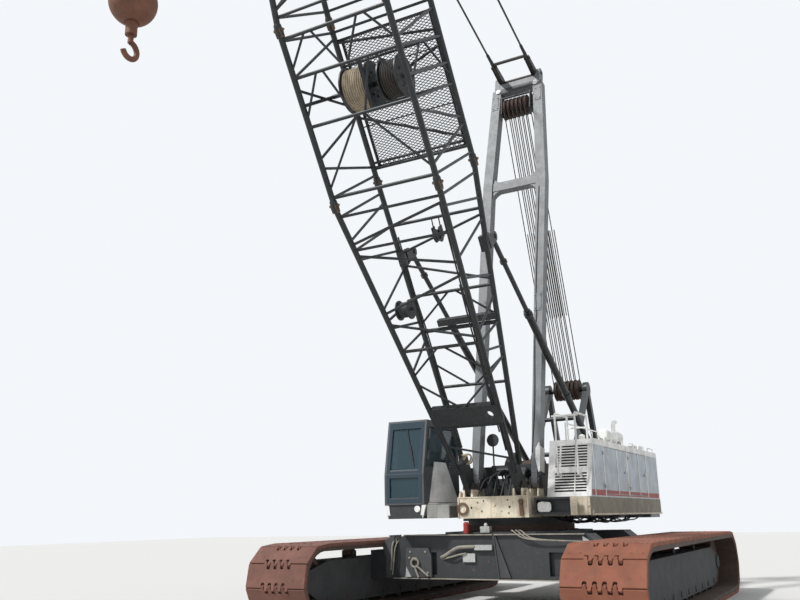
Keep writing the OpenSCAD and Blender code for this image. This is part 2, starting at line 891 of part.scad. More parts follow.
module cab_glass() {
    color(glass_blue) {
        // Windscreen, two panes that follow the front of the cab
        difference() {
            plate_xz(cab_mid_y, cab_w - 2 * 85 - 2 * seat)
                polygon([
                    [cab_front - 30, cab_z + 130 + seat], [cab_front - 22, cab_z + 130 + seat],
                    [cab_front - 22, cab_z + 560], [cab_front - cab_rake + 2, cab_top - 130 - seat],
                    [cab_front - cab_rake - 6, cab_top - 130 - seat], [cab_front - 30, cab_z + 560]
                ]);
            block([0, -3000, divider_z - seat], [3000, 0, divider_z + 45 + seat]);
        }
        plate_xz(-cab_in_y - cab_wall / 2, glass_t)
            offset_window(cab_rear + 130);
        plate_xz(-cab_out_y + cab_wall / 2, glass_t)
            offset_window(cab_door_x1 + 70);
        block([cab_rear + 18, -cab_out_y + 140 + seat, cab_z + 700 + seat], [cab_rear + 26, -cab_in_y - 140 - seat, cab_top - 160 - seat]);
    }
}

module offset_window(x0) {
    polygon([
        [x0 + seat, sill_z + seat], [cab_front - 120 - seat, sill_z + seat],
        [cab_front - cab_rake - 70 - seat, cab_top - 130 - seat], [x0 + seat, cab_top - 130 - seat]
    ]);
}

module cab_door() {
    color(mast_grey)
        difference() {
            block(
                [cab_door_x0 + clear, -cab_out_y, cab_door_z0 + clear],
                [cab_door_x1 - clear, -cab_out_y + cab_wall, cab_door_z1 - clear]
            );
            block(
                [cab_door_x0 + 90, -cab_out_y - 10, cab_door_z0 + 620],
                [cab_door_x1 - 90, -cab_out_y + cab_wall + 10, cab_door_z1 - 90]
            );
        }
    color(mast_grey)
        mirror([0, 1, 0]) {
            hinge_knuckles(cab_door_x1, cab_out_y, cab_door_z0, cab_door_z1);
            block([cab_door_x0 + 30, cab_out_y - 1, cab_door_z0 + 560], [cab_door_x0 + 160, cab_out_y + 28, cab_door_z0 + 590]);
        }
    color(glass_blue)
        block(
            [cab_door_x0 + 89, -cab_out_y + 18, cab_door_z0 + 619],
            [cab_door_x1 - 89, -cab_out_y + 26, cab_door_z1 - 89]
        );
}

module cab_seat() {
    x = cab_rear + 420;
    color(dark_grey) {
        block([x, cab_mid_y - 110, cab_z + cab_wall + seat], [x + 300, cab_mid_y + 110, cab_z + 320]);
        block([x - 100, cab_mid_y - 230, cab_z + 319], [x + 420, cab_mid_y + 230, cab_z + 440]);
        translate([x - 100, cab_mid_y - 220, cab_z + 400])
            rotate([0, -12, 0])
                cube([110, 440, 640]);
    }
}

module handrails() {
    x = house_front + 80;
    color(house_white) {
        for (y = [1180, 1560]) {
            tube([x, y, house_z], [x, y, house_top + 420], 17, 16);
            tube([x, y, house_top + 400], [-200, y, house_top + 400], 17, 16);
        }
        tube([x, 1180, house_top + 400], [x, 1560, house_top + 400], 17, 16);
        // Rail round the roof
        for (x = [-4300, -3300, -2300, -1300, -300])
            tube([x, side_y - 60, house_top + seat], [x, side_y - 60, house_top + 420], 17, 16);
        tube([-4300, side_y - 60, house_top + 400], [-300, side_y - 60, house_top + 400], 17, 16);
    }
}

module lamps() {
    color(house_white) {
        shaft_x(house_front + 230 + seat, 920, deck_z + 200, 70, 120);
        shaft_x(cab_front - 40 + seat, cab_mid_y + 260, deck_z + 190, 60, 40);
    }
}

// A lacing tube between two chords, its ends just inside their walls
module lacing(p, q) {
    v = (q - p) * 48 / norm(q - p);
    tube(p + v, q - v, lace_r, 16);
}

// Lattice of one boom section between two rectangles of chord centres
module lattice(u0, y0, z0, u1, y1, z1, bays) {
    corner = [[-1, -1], [1, -1], [1, 1], [-1, 1]];
    function at(t, c) = [
        u0 + (u1 - u0) * t,
        corner[c][0] * (y0 + (y1 - y0) * t),
        corner[c][1] * (z0 + (z1 - z0) * t)
    ];
    inset = 130 / (u1 - u0);
    span = (1 - 2 * inset) / bays;
    for (c = [0:3])
        tube(at(0, c), at(1, c), chord_r, 32);
    for (face = [0:3]) {
        a = face;
        b = (face + 1) % 4;
        // Diagonals of neighbouring faces meet their shared chord at different places
        gap = (face % 2 == 0 ? 80 : 175) / (u1 - u0);
        for (i = [0:bays - 1]) {
            t0 = inset + i * span;
            flip = (i + face) % 2;
            lacing(at(t0 + gap, flip == 0 ? a : b), at(t0 + span - gap, flip == 0 ? b : a));
        }
        for (i = [0:bays])
            lacing(at(inset + i * span, a), at(inset + i * span, b));
    }
}

connector_len = 190;

// Pinned connectors at a section's end, one on each chord
module connectors(u, dir) {
    for (y = [-1, 1] * chord_y, z = [-1, 1] * chord_z)
        translate([u, y, z])
            rotate([0, 90 * dir, 0])
                translate([0, 0, seat])
                    cylinder(r = chord_r + 22, h = connector_len, $fn = 32);
}

module boom_base() {
    color(boom_black)
        in_boom() {
            lattice(foot_start, boom_foot_y + 60, 140, base_len - 60, chord_y, chord_z, 6);
            connectors(base_len, -1);
            // Foot plates with the eyes of the foot pins
            both_sides()
                plate_xz(boom_foot_y, boom_lug_t)
                    difference() {
                        union() {
                            circle(r = 125, $fn = 48);
                            polygon([[-20, -124], [200, -150], [640, -170], [640, 170], [200, 150], [-20, 124]]);
                        }
                        circle(r = foot_pin_r + fit, $fn = 48);
                    }
            // Cross beam between the feet
            difference() {
                block([1440, -640, -120], [1640, 640, 120]);
                translate([1540, 430, -200])
                    cylinder(r = 60, h = 400, $fn = 32);
            }
            // Brackets of the backstop eyes, wider than the rods between them
            lug_y = stop_rod_r + 6 + 12;
            both_sides() {
                block([eye_u - 170, backstop_y - lug_y - 12, 640], [eye_u + 170, backstop_y + lug_y + 12, 760]);
                for (y = [-1, 1]) {
                    plate_xz(backstop_y + y * lug_y, 24)
                        lug_outline(eye_u, eye_n, 90, 168, 700, 20);
                    shaft_y(eye_u, backstop_y + y * (lug_y + 14), eye_n, stop_pin_r, 48, 32);
                }
            }
        }
}

module boom_insert() {
    color(boom_black)
        in_boom() {
            u0 = base_len + 60;
            u1 = base_len + insert_len - 60;
            lattice(u0, chord_y, chord_z, u1, chord_y, chord_z, 3);
            connectors(base_len, 1);
            connectors(base_len + insert_len, -1);
            // Posts and shaft of the rope spools
            both_sides()
                tube([spool_u, chord_y, -chord_z], [spool_u, chord_y, chord_z], 38, 20);
            tube([spool_u, -chord_y, spool_n], [spool_u, chord_y, spool_n], 40, 24);
        }
}

module boom_spools() {
    color(rust_dark)
        in_boom()
            for (y = [-460, 200])
                translate([spool_u, y, spool_n])
                    rotate([90, 0, 0])
                        rotate_extrude($fn = 64)
                            polygon([
                                [40 + fit, -300], [spool_r, -300], [spool_r, -275], [spool_r - 80, -275],
                                [spool_r - 80, 275], [spool_r, 275], [spool_r, 300], [40 + fit, 300]
                            ]);
}

tip_y = 330;
tip_d = 260;

module boom_tip() {
    u0 = base_len + insert_len;
    color(boom_black)
        in_boom() {
            lattice(u0 + 60, chord_y, chord_z, boom_len - 500, tip_y, tip_d, 7);
            connectors(u0, 1);
            // Head plates that hold the sheave shaft
            for (y = [-1, 1] * tip_y)
                plate_xz(y, 50)
                    difference() {
                        union() {
                            polygon([
                                [boom_len - 900, -300], [boom_len - 300, -340], [boom_len + 90, -100],
                                [boom_len + 90, 100], [boom_len - 250, 420], [boom_len - 900, 330]
                            ]);
                            translate([boom_len, 0])
                                circle(r = 130, $fn = 40);
                        }
                    }
            shaft_y(pendant_end_u, 0, pendant_end_n, 38, 2 * pendant_y + 110, 32);
            shaft_y(boom_len, 0, 0, 50, 2 * tip_y + 90, 32);
            shaft_y(boom_len - 700, 0, 0, 60, 2 * tip_y, 24);
        }
}

module tip_sheaves() {
    color(rust_dark)
        in_boom()
            for (i = [-1:1])
                translate([boom_len, i * 140, 0])
                    sheave(tip_sheave_r, 110, 50 + fit);
}

module boom_catwalk() {
    u0 = base_len + connector_len + 20;
    u1 = base_len + insert_len - connector_len - 20;
    z = chord_z + chord_r + seat;
    color(rust_dark)
        in_boom() {
            block([u0, -500, z], [u1, -450, z + 60]);
            block([u0, 450, z], [u1, 500, z + 60]);
            for (i = [0:5])
                block([u0 + i * (u1 - u0 - 50) / 5, -chord_y, z], [u0 + i * (u1 - u0 - 50) / 5 + 50, chord_y, z + 40]);
            block([u0, -460, z + 40], [u1, 460, z + 52]);
        }
}

module mast() {
    color(mast_grey)
        in_mast() {
            both_sides() {
                // A leg, widest at the cross beam
                difference() {
                    translate([0, 0, -leg_d / 2])
                        linear_extrude(height = leg_d)
                            polygon([
                                [160, mast_foot_y - 55], [mast_mid_u, mast_mid_y - leg_w / 2],
                                [mast_len - 300, mast_head_y - leg_w / 2], [mast_len - 300, mast_head_y + leg_w / 2],
                                [mast_mid_u, mast_mid_y + leg_w / 2], [700, mast_foot_y + leg_w / 2],
                                [160, mast_foot_y + 55]
                            ]);
                }
                // Foot lug
                plate_xz(mast_foot_y, mast_lug_t)
                    difference() {
                        union() {
                            circle(r = 110, $fn = 48);
                            polygon([[0, -110], [420, -118], [420, 118], [0, 110]]);
                        }
                        circle(r = mast_pin_r + fit, $fn = 48);
                    }
                // Head plate
                plate_xz(mast_head_y, 120)
                    difference() {
                        union() {
                            polygon([
                                [mast_len - 1250, -118], [mast_len, -118], [mast_len, 118], [mast_len - 1250, 118]
                            ]);
                            translate([mast_len, 0])
                                circle(r = 118, $fn = 40);
                        }
                        translate([mast_len, 0])
                            circle(r = 41 + fit, $fn = 32);
                    }
            }
            // Cross beams
            block([mast_mid_u - 110, -mast_mid_y, -90], [mast_mid_u + 110, mast_mid_y, 90]);
            block([mast_len - 420, -mast_head_y, -110], [mast_len - 120, mast_head_y, 110]);
            shaft_y(mast_sheave_u, 0, 0, 55, 2 * mast_head_y, 32);
        }
}

module mast_sheaves() {
    color(rust_dark)
        in_mast()
            translate([mast_sheave_u, 0, 0])
                sheave_row(-rope_pitch / 2, 55 + fit);
}

// The pendants hang from the mast's head pins and run to the boom's tip
pendant_end_u = boom_len - 350;
pendant_end_n = 300;
pendant_end = [
    boom_foot_x + pendant_end_u * cos(boom_angle) - pendant_end_n * sin(boom_angle),
    boom_foot_z + pendant_end_u * sin(boom_angle) + pendant_end_n * cos(boom_angle)
];
pendant_angle = atan2(pendant_end[1] - head_z, pendant_end[0] - head_x);
pendant_len = norm([pendant_end[0] - head_x, pendant_end[1] - head_z]);

module pendants() {
    color(rope_grey)
        translate([head_x, 0, head_z])
            rotate([0, -pendant_angle, 0]) {
                both_sides() {
                    // Link plate on the head pin, then the strand, then its end socket
                    plate_xz(pendant_y, 50) {
                        circle(r = 85, $fn = 32);
                        translate([0, -50])
                            square([750, 100]);
                    }
                    tube([700, pendant_y, 0], [pendant_len - 300, pendant_y, 0], 22, 16);
                    tube([pendant_len - 400, pendant_y, 0], [pendant_len - 100, pendant_y, 0], 45, 20);
                }
                // Spreader bar
                tube([640, -pendant_y, 0], [640, pendant_y, 0], 38, 20);
                shaft_y(0, 0, 0, 41, 2 * mast_head_y + 170, 32);
            }
}

hoist_angle = atan2(mast_sheave_z - gantry_z, mast_sheave_x + gantry_x);
hoist_len = norm([mast_sheave_x + gantry_x, mast_sheave_z - gantry_z]);

// Two layers of ropes, tangent to both sides of a row of sheaves
module rope_fan(shift, start, end) {
    for (i = [0:sheave_count - 1], side = [-1, 1])
        tube(
            [start, (i - (sheave_count - 1) / 2) * 2 * rope_pitch + shift, side * rope_off],
            [end, (i - (sheave_count - 1) / 2) * 2 * rope_pitch + shift, side * rope_off],
            rope_r, 8
        );
}

module hoist_ropes_upper() {
    color(rope_grey)
        translate([mast_sheave_x, 0, mast_sheave_z])
            rotate([0, 180 - hoist_angle, 0])
                rope_fan(-rope_pitch / 2, 0, hoist_len - 1800);
}

module hoist_ropes_lower() {
    color(rope_grey)
        translate([-gantry_x, 0, gantry_z])
            rotate([0, -hoist_angle, 0])
                rope_fan(rope_pitch / 2, 0, 3900);
}

// A backstop lies along its own X axis from its foot pin
module in_backstops() {
    both_sides()
        translate(stop_foot)
            rotate([0, -stop_angle, 0])
                children();
}

module backstop_tubes() {
    color(boom_black)
        in_backstops()
            difference() {
                union() {
                    translate([80, 0, 0])
                        rotate([0, 90, 0])
                            cylinder(r = backstop_r, h = stop_tube_len - 80, $fn = 32);
                    shaft_y(0, 0, 0, 95, 100, 32);
                }
                translate([300, 0, 0])
                    rotate([0, 90, 0])
                        cylinder(r = stop_rod_r + 5, h = stop_tube_len, $fn = 32);
                shaft_y(0, 0, 0, stop_pin_r + fit, 200, 32);
            }
}

module backstop_rods() {
    color(dark_grey)
        in_backstops() {
            translate([stop_len - stop_rod_len, 0, 0])
                rotate([0, 90, 0])
                    cylinder(r = stop_rod_r, h = stop_rod_len - 60, $fn = 32);
            translate([stop_len - 640, 0, 0])
                rotate([0, 90, 0])
                    cylinder(r = 68, h = 60, $fn = 32);
            difference() {
                shaft_y(stop_len, 0, 0, 75, 76, 32);
                shaft_y(stop_len, 0, 0, stop_pin_r, 100, 32);
            }
        }
}

rope_x = tip_x + tip_sheave_r - groove + rope_r + seat;

module hook_rope() {
    color(rope_grey)
        tube([rope_x, 0, ball_z + ball_d / 2 + 120], [rope_x, 0, tip_z], rope_r, 12);
}

module hook_ball() {
    color(rust_dark)
        translate([rope_x, 0, ball_z]) {
            difference() {
                sphere(d = ball_d, $fn = 64);
                translate([0, 0, ball_d / 2 - 20])
                    cylinder(r = 90, h = 100, $fn = 32);
                translate([0, 0, -ball_d / 2 - 80])
                    cylinder(r = 80, h = 100, $fn = 32);
            }
            // Rope socket
            translate([0, 0, ball_d / 2 - 30])
                cylinder(r1 = 60, r2 = 35, h = 150 - seat, $fn = 32);
        }
}

hook_top = ball_z - ball_d / 2 + 20 - 6;
bowl_z = hook_top - 330;
bowl_r = 95;

module hook() {
    color(rust_dark)
        translate([rope_x, 0, 0]) {
            translate([0, 0, hook_top - 150])
                cylinder(r = 62, h = 150, $fn = 32);
            translate([0, 0, bowl_z + bowl_r - 10])
                cylinder(r = 30, h = hook_top - 140 - bowl_z - bowl_r + 10, $fn = 32);
            // The bowl, open towards the front
            translate([0, 0, bowl_z])
                rotate([90, 0, 0])
                    rotate([0, 0, 90])
                        rotate_extrude(angle = 250, $fn = 48)
                            translate([bowl_r, 0])
                                circle(r = 30, $fn = 24);
        }
}

module side_frame_left() {
    side_frame(1);
}

module side_frame_right() {
    side_frame(-1);
}

module track_left() {
    track(1);
}

module track_right() {
    track(-1);
}

carbody();
side_frame_left();
side_frame_right();
track_left();
track_right();
drive_sprockets();
front_idlers();
track_rollers();
carrier_rollers();
slewing_ring();
turntable();
bed();
foot_frame();
deck_left();
deck_right();
front_bumper();
house_shell();
house_door_front();
house_door_rear();
engine();
muffler();
counterweight();
gantry();
gantry_sheaves();
winch_frame();
winch_drums();
cab_shell();
cab_glass();
cab_door();
cab_seat();
handrails();
lamps();
boom_base();
boom_insert();
boom_tip();
boom_catwalk();
boom_spools();
tip_sheaves();
mast();
mast_sheaves();
pendants();
hoist_ropes_upper();
hoist_ropes_lower();
backstop_tubes();
backstop_rods();
hook_rope();
hook_ball();
hook();
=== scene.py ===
import math
import random

import bmesh
import bpy
from mathutils import Matrix, Vector


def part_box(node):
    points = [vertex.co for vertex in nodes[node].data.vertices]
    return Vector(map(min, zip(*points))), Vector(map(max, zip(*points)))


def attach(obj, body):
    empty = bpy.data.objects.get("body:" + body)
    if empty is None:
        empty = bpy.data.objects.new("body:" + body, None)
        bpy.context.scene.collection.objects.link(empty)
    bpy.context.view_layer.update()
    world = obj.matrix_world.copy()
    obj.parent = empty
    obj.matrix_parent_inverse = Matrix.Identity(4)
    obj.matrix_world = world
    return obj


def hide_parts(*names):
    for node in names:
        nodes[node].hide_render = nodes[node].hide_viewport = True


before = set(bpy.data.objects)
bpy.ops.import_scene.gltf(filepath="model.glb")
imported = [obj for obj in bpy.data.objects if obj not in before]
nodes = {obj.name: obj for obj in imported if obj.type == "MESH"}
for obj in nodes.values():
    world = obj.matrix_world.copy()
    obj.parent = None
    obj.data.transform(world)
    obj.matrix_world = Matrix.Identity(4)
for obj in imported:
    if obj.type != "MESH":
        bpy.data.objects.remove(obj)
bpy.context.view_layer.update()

# The camera stands on the ground ahead of the crane and to its left, and looks up at
# the boom. Its place, direction and lens come from a fit to the photograph.
EYE = Vector((15.90, 6.19, 1.635))
HEADING = math.radians(28.93)
PITCH = math.radians(14.76)
ROLL = math.radians(-1.13)
FOCAL_PX = 830.0
PHOTO_W_PX = 800.0
SENSOR_MM = 36.0


def frame_at(place, along, across, out):
    """The frame that stands at a place, with its three axes."""
    return Matrix.Translation(place) @ Matrix((along, across, out)).transposed().to_4x4()


forward = Vector((
    -math.cos(HEADING) * math.cos(PITCH), -math.sin(HEADING) * math.cos(PITCH), math.sin(PITCH)
))
level_right = forward.cross(Vector((0, 0, 1))).normalized()
level_up = level_right.cross(forward)
right = level_right * math.cos(ROLL) + level_up * math.sin(ROLL)
up = level_up * math.cos(ROLL) - level_right * math.sin(ROLL)
camera_data = bpy.data.cameras.new("camera")
camera_data.sensor_width = SENSOR_MM
camera_data.lens = FOCAL_PX * SENSOR_MM / PHOTO_W_PX
camera_data.clip_end = 300
camera = bpy.data.objects.new("camera", camera_data)
camera.matrix_world = frame_at(EYE, right, up, -forward)
bpy.context.scene.collection.objects.link(camera)
bpy.context.scene.camera = camera
bpy.context.scene.view_settings.view_transform = "Standard"

# The light is one soft sun from the front right of the crane, as in the photograph,
# with an even pale sky around it. The floor is a plain pale sheet.
SUN_FROM = Vector((0.62, -0.42, 0.85))
SUN_STRENGTH = 3.3
SKY_STRENGTH = 0.58
FLOOR_HALF = 60.0
FLOOR_Z = -0.002

sun_data = bpy.data.lights.new("sun", "SUN")
sun_data.energy = SUN_STRENGTH
sun_data.angle = math.radians(4)
sun = bpy.data.objects.new("sun", sun_data)
sun.rotation_euler = SUN_FROM.to_track_quat("Z", "Y").to_euler()
bpy.context.scene.collection.objects.link(sun)

world = bpy.data.worlds.new("pale sky")
bpy.context.scene.world = world
world.use_nodes = True
sky_nodes = world.node_tree.nodes
sky_links = world.node_tree.links
sky_nodes.clear()
sky_out = sky_nodes.new("ShaderNodeOutputWorld")
sky_mix = sky_nodes.new("ShaderNodeMixShader")
sky_light = sky_nodes.new("ShaderNodeBackground")
sky_light.inputs["Color"].default_value = (0.93, 0.96, 1.0, 1)
sky_light.inputs["Strength"].default_value = SKY_STRENGTH
sky_seen = sky_nodes.new("ShaderNodeBackground")
sky_seen.inputs["Color"].default_value = (0.90, 0.93, 0.96, 1)
sky_path = sky_nodes.new("ShaderNodeLightPath")
seen_glossy = sky_nodes.new("ShaderNodeMath")
seen_glossy.operation = "MAXIMUM"
seen_through = sky_nodes.new("ShaderNodeMath")
seen_through.operation = "MAXIMUM"
for source, target in (
    (sky_path.outputs["Is Camera Ray"], seen_glossy.inputs[0]),
    (sky_path.outputs["Is Glossy Ray"], seen_glossy.inputs[1]),
    (seen_glossy.outputs[0], seen_through.inputs[0]),
    (sky_path.outputs["Is Transmission Ray"], seen_through.inputs[1]),
    (seen_through.outputs[0], sky_mix.inputs["Fac"]),
    (sky_light.outputs[0], sky_mix.inputs[1]),
    (sky_seen.outputs[0], sky_mix.inputs[2]),
    (sky_mix.outputs[0], sky_out.inputs["Surface"]),
):
    sky_links.new(source, target)

floor_mesh = bpy.data.meshes.new("floor")
floor_mesh.from_pydata([
    (x * FLOOR_HALF, y * FLOOR_HALF, FLOOR_Z) for x, y in ((-1, -1), (1, -1), (1, 1), (-1, 1))
], [], [(0, 1, 2, 3)])
floor = bpy.data.objects.new("floor", floor_mesh)
bpy.context.scene.collection.objects.link(floor)
floor_paint = bpy.data.materials.new("pale floor")
floor_paint.use_nodes = True
floor_shader = floor_paint.node_tree.nodes["Principled BSDF"]
floor_shader.inputs["Base Color"].default_value = (0.62, 0.61, 0.59, 1)
floor_shader.inputs["Roughness"].default_value = 0.9
floor_mesh.materials.append(floor_paint)


# The tracks are cast steel shoes that hook into each other with fingers along their
# middle. Rust covers them evenly, a little brighter where the ground rubs it off.
def weathered(name, colour, dirt, roughness=0.6, rust=0.0, streaks=0.3, patches=3.0, bump=0.25, metal=0.0,
              rust_colour=(0.23, 0.085, 0.035), grain=45.0, dark_above=None):
    """A painted or rusted surface: blotches, runs of dirt downwards, rust patches and a fine grain."""
    finish = bpy.data.materials.new(name)
    finish.use_nodes = True
    tree = finish.node_tree
    make, join = tree.nodes.new, tree.links.new
    shader = tree.nodes["Principled BSDF"]
    place = make("ShaderNodeTexCoord").outputs["Object"]

    def noise(scale, detail, stretch=(1, 1, 1), rough=0.55):
        mapping = make("ShaderNodeMapping")
        mapping.inputs["Scale"].default_value = stretch
        join(place, mapping.inputs["Vector"])
        texture = make("ShaderNodeTexNoise")
        texture.inputs["Scale"].default_value = scale
        texture.inputs["Detail"].default_value = detail
        texture.inputs["Roughness"].default_value = rough
        join(mapping.outputs[0], texture.inputs["Vector"])
        return texture.outputs["Fac"]

    def band(value, low, high, top=1.0):
        window = make("ShaderNodeMapRange")
        window.interpolation_type = "SMOOTHSTEP"
        window.inputs["From Min"].default_value = low
        window.inputs["From Max"].default_value = high
        window.inputs["To Max"].default_value = top
        join(value, window.inputs["Value"])
        return window.outputs[0]

    def mix(factor, one, two):
        blend = make("ShaderNodeMix")
        blend.data_type = "RGBA"
        join(factor, blend.inputs["Factor"])
        for value, socket in ((one, blend.inputs["A"]), (two, blend.inputs["B"])):
            if isinstance(value, tuple):
                socket.default_value = value + (1.0,)
            else:
                join(value, socket)
        return blend.outputs["Result"]

    blotch = noise(patches, 6)
    tone = mix(band(blotch, 0.35, 0.70), colour, tuple(c * 0.72 for c in colour))
    tone = mix(band(noise(patches * 5, 8), 0.50, 0.78, 0.6), tone, dirt)
    run = noise(1.0, 7, stretch=(16, 16, 1.1), rough=0.7)
    tone = mix(band(run, 0.50, 0.72, streaks), tone, dirt)
    worn = noise(patches * 2.2, 10, rough=0.72)
    if rust:
        rust_mask = band(worn, 0.72 - 0.30 * rust, 0.80 - 0.26 * rust)
        tone = mix(rust_mask, tone, rust_colour)
    if dark_above:
        height = make("ShaderNodeSeparateXYZ")
        join(place, height.inputs[0])
        tone = mix(band(height.outputs["Z"], dark_above, dark_above + 0.02), tone, (0.035, 0.030, 0.026))
    join(tone, shader.inputs["Base Color"])
    gloss = make("ShaderNodeMapRange")
    gloss.inputs["To Min"].default_value = roughness - 0.12
    gloss.inputs["To Max"].default_value = min(1.0, roughness + 0.18)
    join(worn, gloss.inputs["Value"])
    join(gloss.outputs[0], shader.inputs["Roughness"])
    shader.inputs["Metallic"].default_value = metal
    rise = make("ShaderNodeBump")
    rise.inputs["Strength"].default_value = bump
    rise.inputs["Distance"].default_value = 0.004
    join(noise(grain, 6), rise.inputs["Height"])
    join(rise.outputs[0], shader.inputs["Normal"])
    return finish


def dress(finish, *names):
    """Gives CAD nodes their finish."""
    for name in names:
        node = nodes[name]
        node.data.materials.clear()
        node.data.materials.append(finish)


def around(count, radius=1.0, centre=(0.0, 0.0), shift=0.0):
    """Points set evenly round a circle, the first one shift steps on from its side."""
    angles = [2 * math.pi * (k + shift) / count for k in range(count)]
    return [(centre[0] + radius * math.cos(a), centre[1] + radius * math.sin(a)) for a in angles]


def arc(radius, first, last, step, centre=(0.0, 0.0)):
    """Points along a part of a circle, from one angle in degrees to another."""
    angles = [math.radians(a) for a in range(first, last + 1, step)]
    return [(centre[0] + radius * math.cos(a), centre[1] + radius * math.sin(a)) for a in angles]


class Piece:
    """One piece of the scene, put together from simple forms, in metres in the frame that place gives."""

    def __init__(self, name, finish, place=None):
        self.name = name
        self.finish = finish
        self.place = place or Matrix()
        self.mesh = bmesh.new()

    def skin(self, rings, closed=False):
        """Joins rings of points into one surface, with flat ends unless it closes on itself."""
        loops = [[self.mesh.verts.new(self.place @ Vector(point)) for point in ring] for ring in rings]
        pairs = list(zip(loops, loops[1:]))
        if closed:
            pairs.append((loops[-1], loops[0]))
        else:
            self.mesh.faces.new(list(reversed(loops[0])))
            self.mesh.faces.new(loops[-1])
        for one, two in pairs:
            for i in range(len(one)):
                j = (i + 1) % len(one)
                self.mesh.faces.new((one[i], one[j], two[j], two[i]))

    def block(self, low, high):
        """A box from its low corner to its high one."""
        outline = ((0, 1), (1, 1), (1, 0), (0, 0))
        ends = (low, high)
        self.skin([[(ends[a][0], ends[b][1], z) for b, a in outline] for z in (low[2], high[2])])

    def plate(self, outline, y, thickness):
        """A flat plate that stands upright along x: its outline in x and z, centred on y."""
        self.skin([[(x, y + side * thickness / 2, z) for x, z in outline] for side in (-1, 1)])

    def facing(self, outline, low, high):
        """A flat plate that faces forwards: its outline in y and z, from one place along x to another."""
        self.skin([[(x, y, z) for y, z in outline] for x in (low, high)])

    def bar(self, points, radius, sides=10, closed=False):
        """A round bar or hose through points. The radius is one number or one for each point."""
        points = [Vector(point) for point in points]
        last = len(points) - 1
        side = None
        rings = []
        for i, point in enumerate(points):
            ahead = points[(i + 1) % len(points)] if closed else points[min(i + 1, last)]
            behind = points[i - 1] if closed else points[max(i - 1, 0)]
            along = (ahead - behind).normalized()
            side = along.orthogonal() if side is None else side - along * side.dot(along)
            side.normalize()
            over = along.cross(side)
            size = radius[i] if isinstance(radius, (list, tuple)) else radius
            rings.append([point + side * a + over * b for a, b in around(sides, size)])
        self.skin(rings, closed)

    def pin(self, x, z, y0, y1, radius, sides=16):
        """A round pin that lies across, from one y to another."""
        self.bar([(x, y0, z), (x, y1, z)], radius, sides)

    def hose(self, points, radius, sides=8, steps=6):
        """A hose that bends smoothly through its points."""
        knots = [Vector(point) for point in points]
        knots = [knots[0] * 2 - knots[1]] + knots + [knots[-1] * 2 - knots[-2]]
        route = []
        for a, b, c, d in zip(knots, knots[1:], knots[2:], knots[3:]):
            for k in range(steps):
                t = k / steps
                curve = (2 * a - 5 * b + 4 * c - d) * t ** 2 + (3 * b - a - 3 * c + d) * t ** 3
                route.append(0.5 * (2 * b + (c - a) * t + curve))
        self.bar(route + [knots[-2]], radius, sides)

    def turned(self, centre, axis, profile, sides=24):
        """A turned part: its closed profile of radius and place along the axis, swept round the axis."""
        axis = Vector(axis).normalized()
        side = axis.orthogonal().normalized()
        over = axis.cross(side)
        centre = Vector(centre)
        self.skin([
            [centre + (side * a + over * b) * radius + axis * along for radius, along in profile]
            for a, b in around(sides)
        ], closed=True)

    def bolt(self, centre, axis, radius=0.018, height=0.014):
        """A six-sided bolt head on a surface."""
        centre = Vector(centre)
        self.bar([centre, centre + Vector(axis).normalized() * height], radius, 6)

    def done(self, body, replaced=(), smooth=True):
        """Makes the object, which rides on a body and may stand for CAD nodes."""
        data = bpy.data.meshes.new(self.name)
        bmesh.ops.recalc_face_normals(self.mesh, faces=self.mesh.faces)
        self.mesh.to_mesh(data)
        self.mesh.free()
        data.materials.append(self.finish)
        if smooth:
            data.polygons.foreach_set("use_smooth", [True] * len(data.polygons))
            data.set_sharp_from_angle(angle=math.radians(40))
        piece = bpy.data.objects.new(self.name, data)
        bpy.context.scene.collection.objects.link(piece)
        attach(piece, body)
        if replaced:
            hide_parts(*replaced)
        return piece


track_rust_right = weathered(
    "track rust", (0.185, 0.082, 0.060), (0.10, 0.055, 0.04), 0.82, streaks=0.25, patches=2.5, bump=0.5
)
track_rust_left = weathered(
    "track rust orange", (0.25, 0.088, 0.050), (0.16, 0.075, 0.05), 0.82, streaks=0.25, patches=2.5, bump=0.5
)
wheel_rust = weathered("wheel rust", (0.085, 0.055, 0.042), (0.03, 0.025, 0.02), 0.75, streaks=0.3, bump=0.5)
dress(wheel_rust, "drive_sprockets", "front_idlers", "track_rollers", "carrier_rollers", "slewing_ring")
PITCH_R = 0.560
AXLE_Z = 0.625
WHEEL_BASE = 7.2
SHOES = 48
TRACK_Y = 2.77
SHOE_W = 1.21
SHOE_TOP = 0.065
SHOE_LOW = 0.006
SHOE_BEVEL = 0.006
SOCKET_LOW = -0.064
JOINT_CLEARANCE = 0.011
FINGER_W = 0.072
FINGER_DEPTH = 0.082
FINGER_REACH = 0.050
LOOP_LEN = 2 * WHEEL_BASE + 2 * math.pi * PITCH_R


def loop_point(along, rise):
    """A point of the track's loop in x and z: along from the top's rear end, rise above the pitch line."""
    half, arc, radius = WHEEL_BASE / 2, math.pi * PITCH_R, PITCH_R + rise
    along %= LOOP_LEN
    if along < WHEEL_BASE:
        return along - half, AXLE_Z + radius
    if along < WHEEL_BASE + arc:
        angle = (along - WHEEL_BASE) / PITCH_R
        return half + radius * math.sin(angle), AXLE_Z + radius * math.cos(angle)
    if along < 2 * WHEEL_BASE + arc:
        return half - (along - WHEEL_BASE - arc), AXLE_Z - radius
    angle = (along - 2 * WHEEL_BASE - arc) / PITCH_R
    return -half - radius * math.sin(angle), AXLE_Z - radius * math.cos(angle)


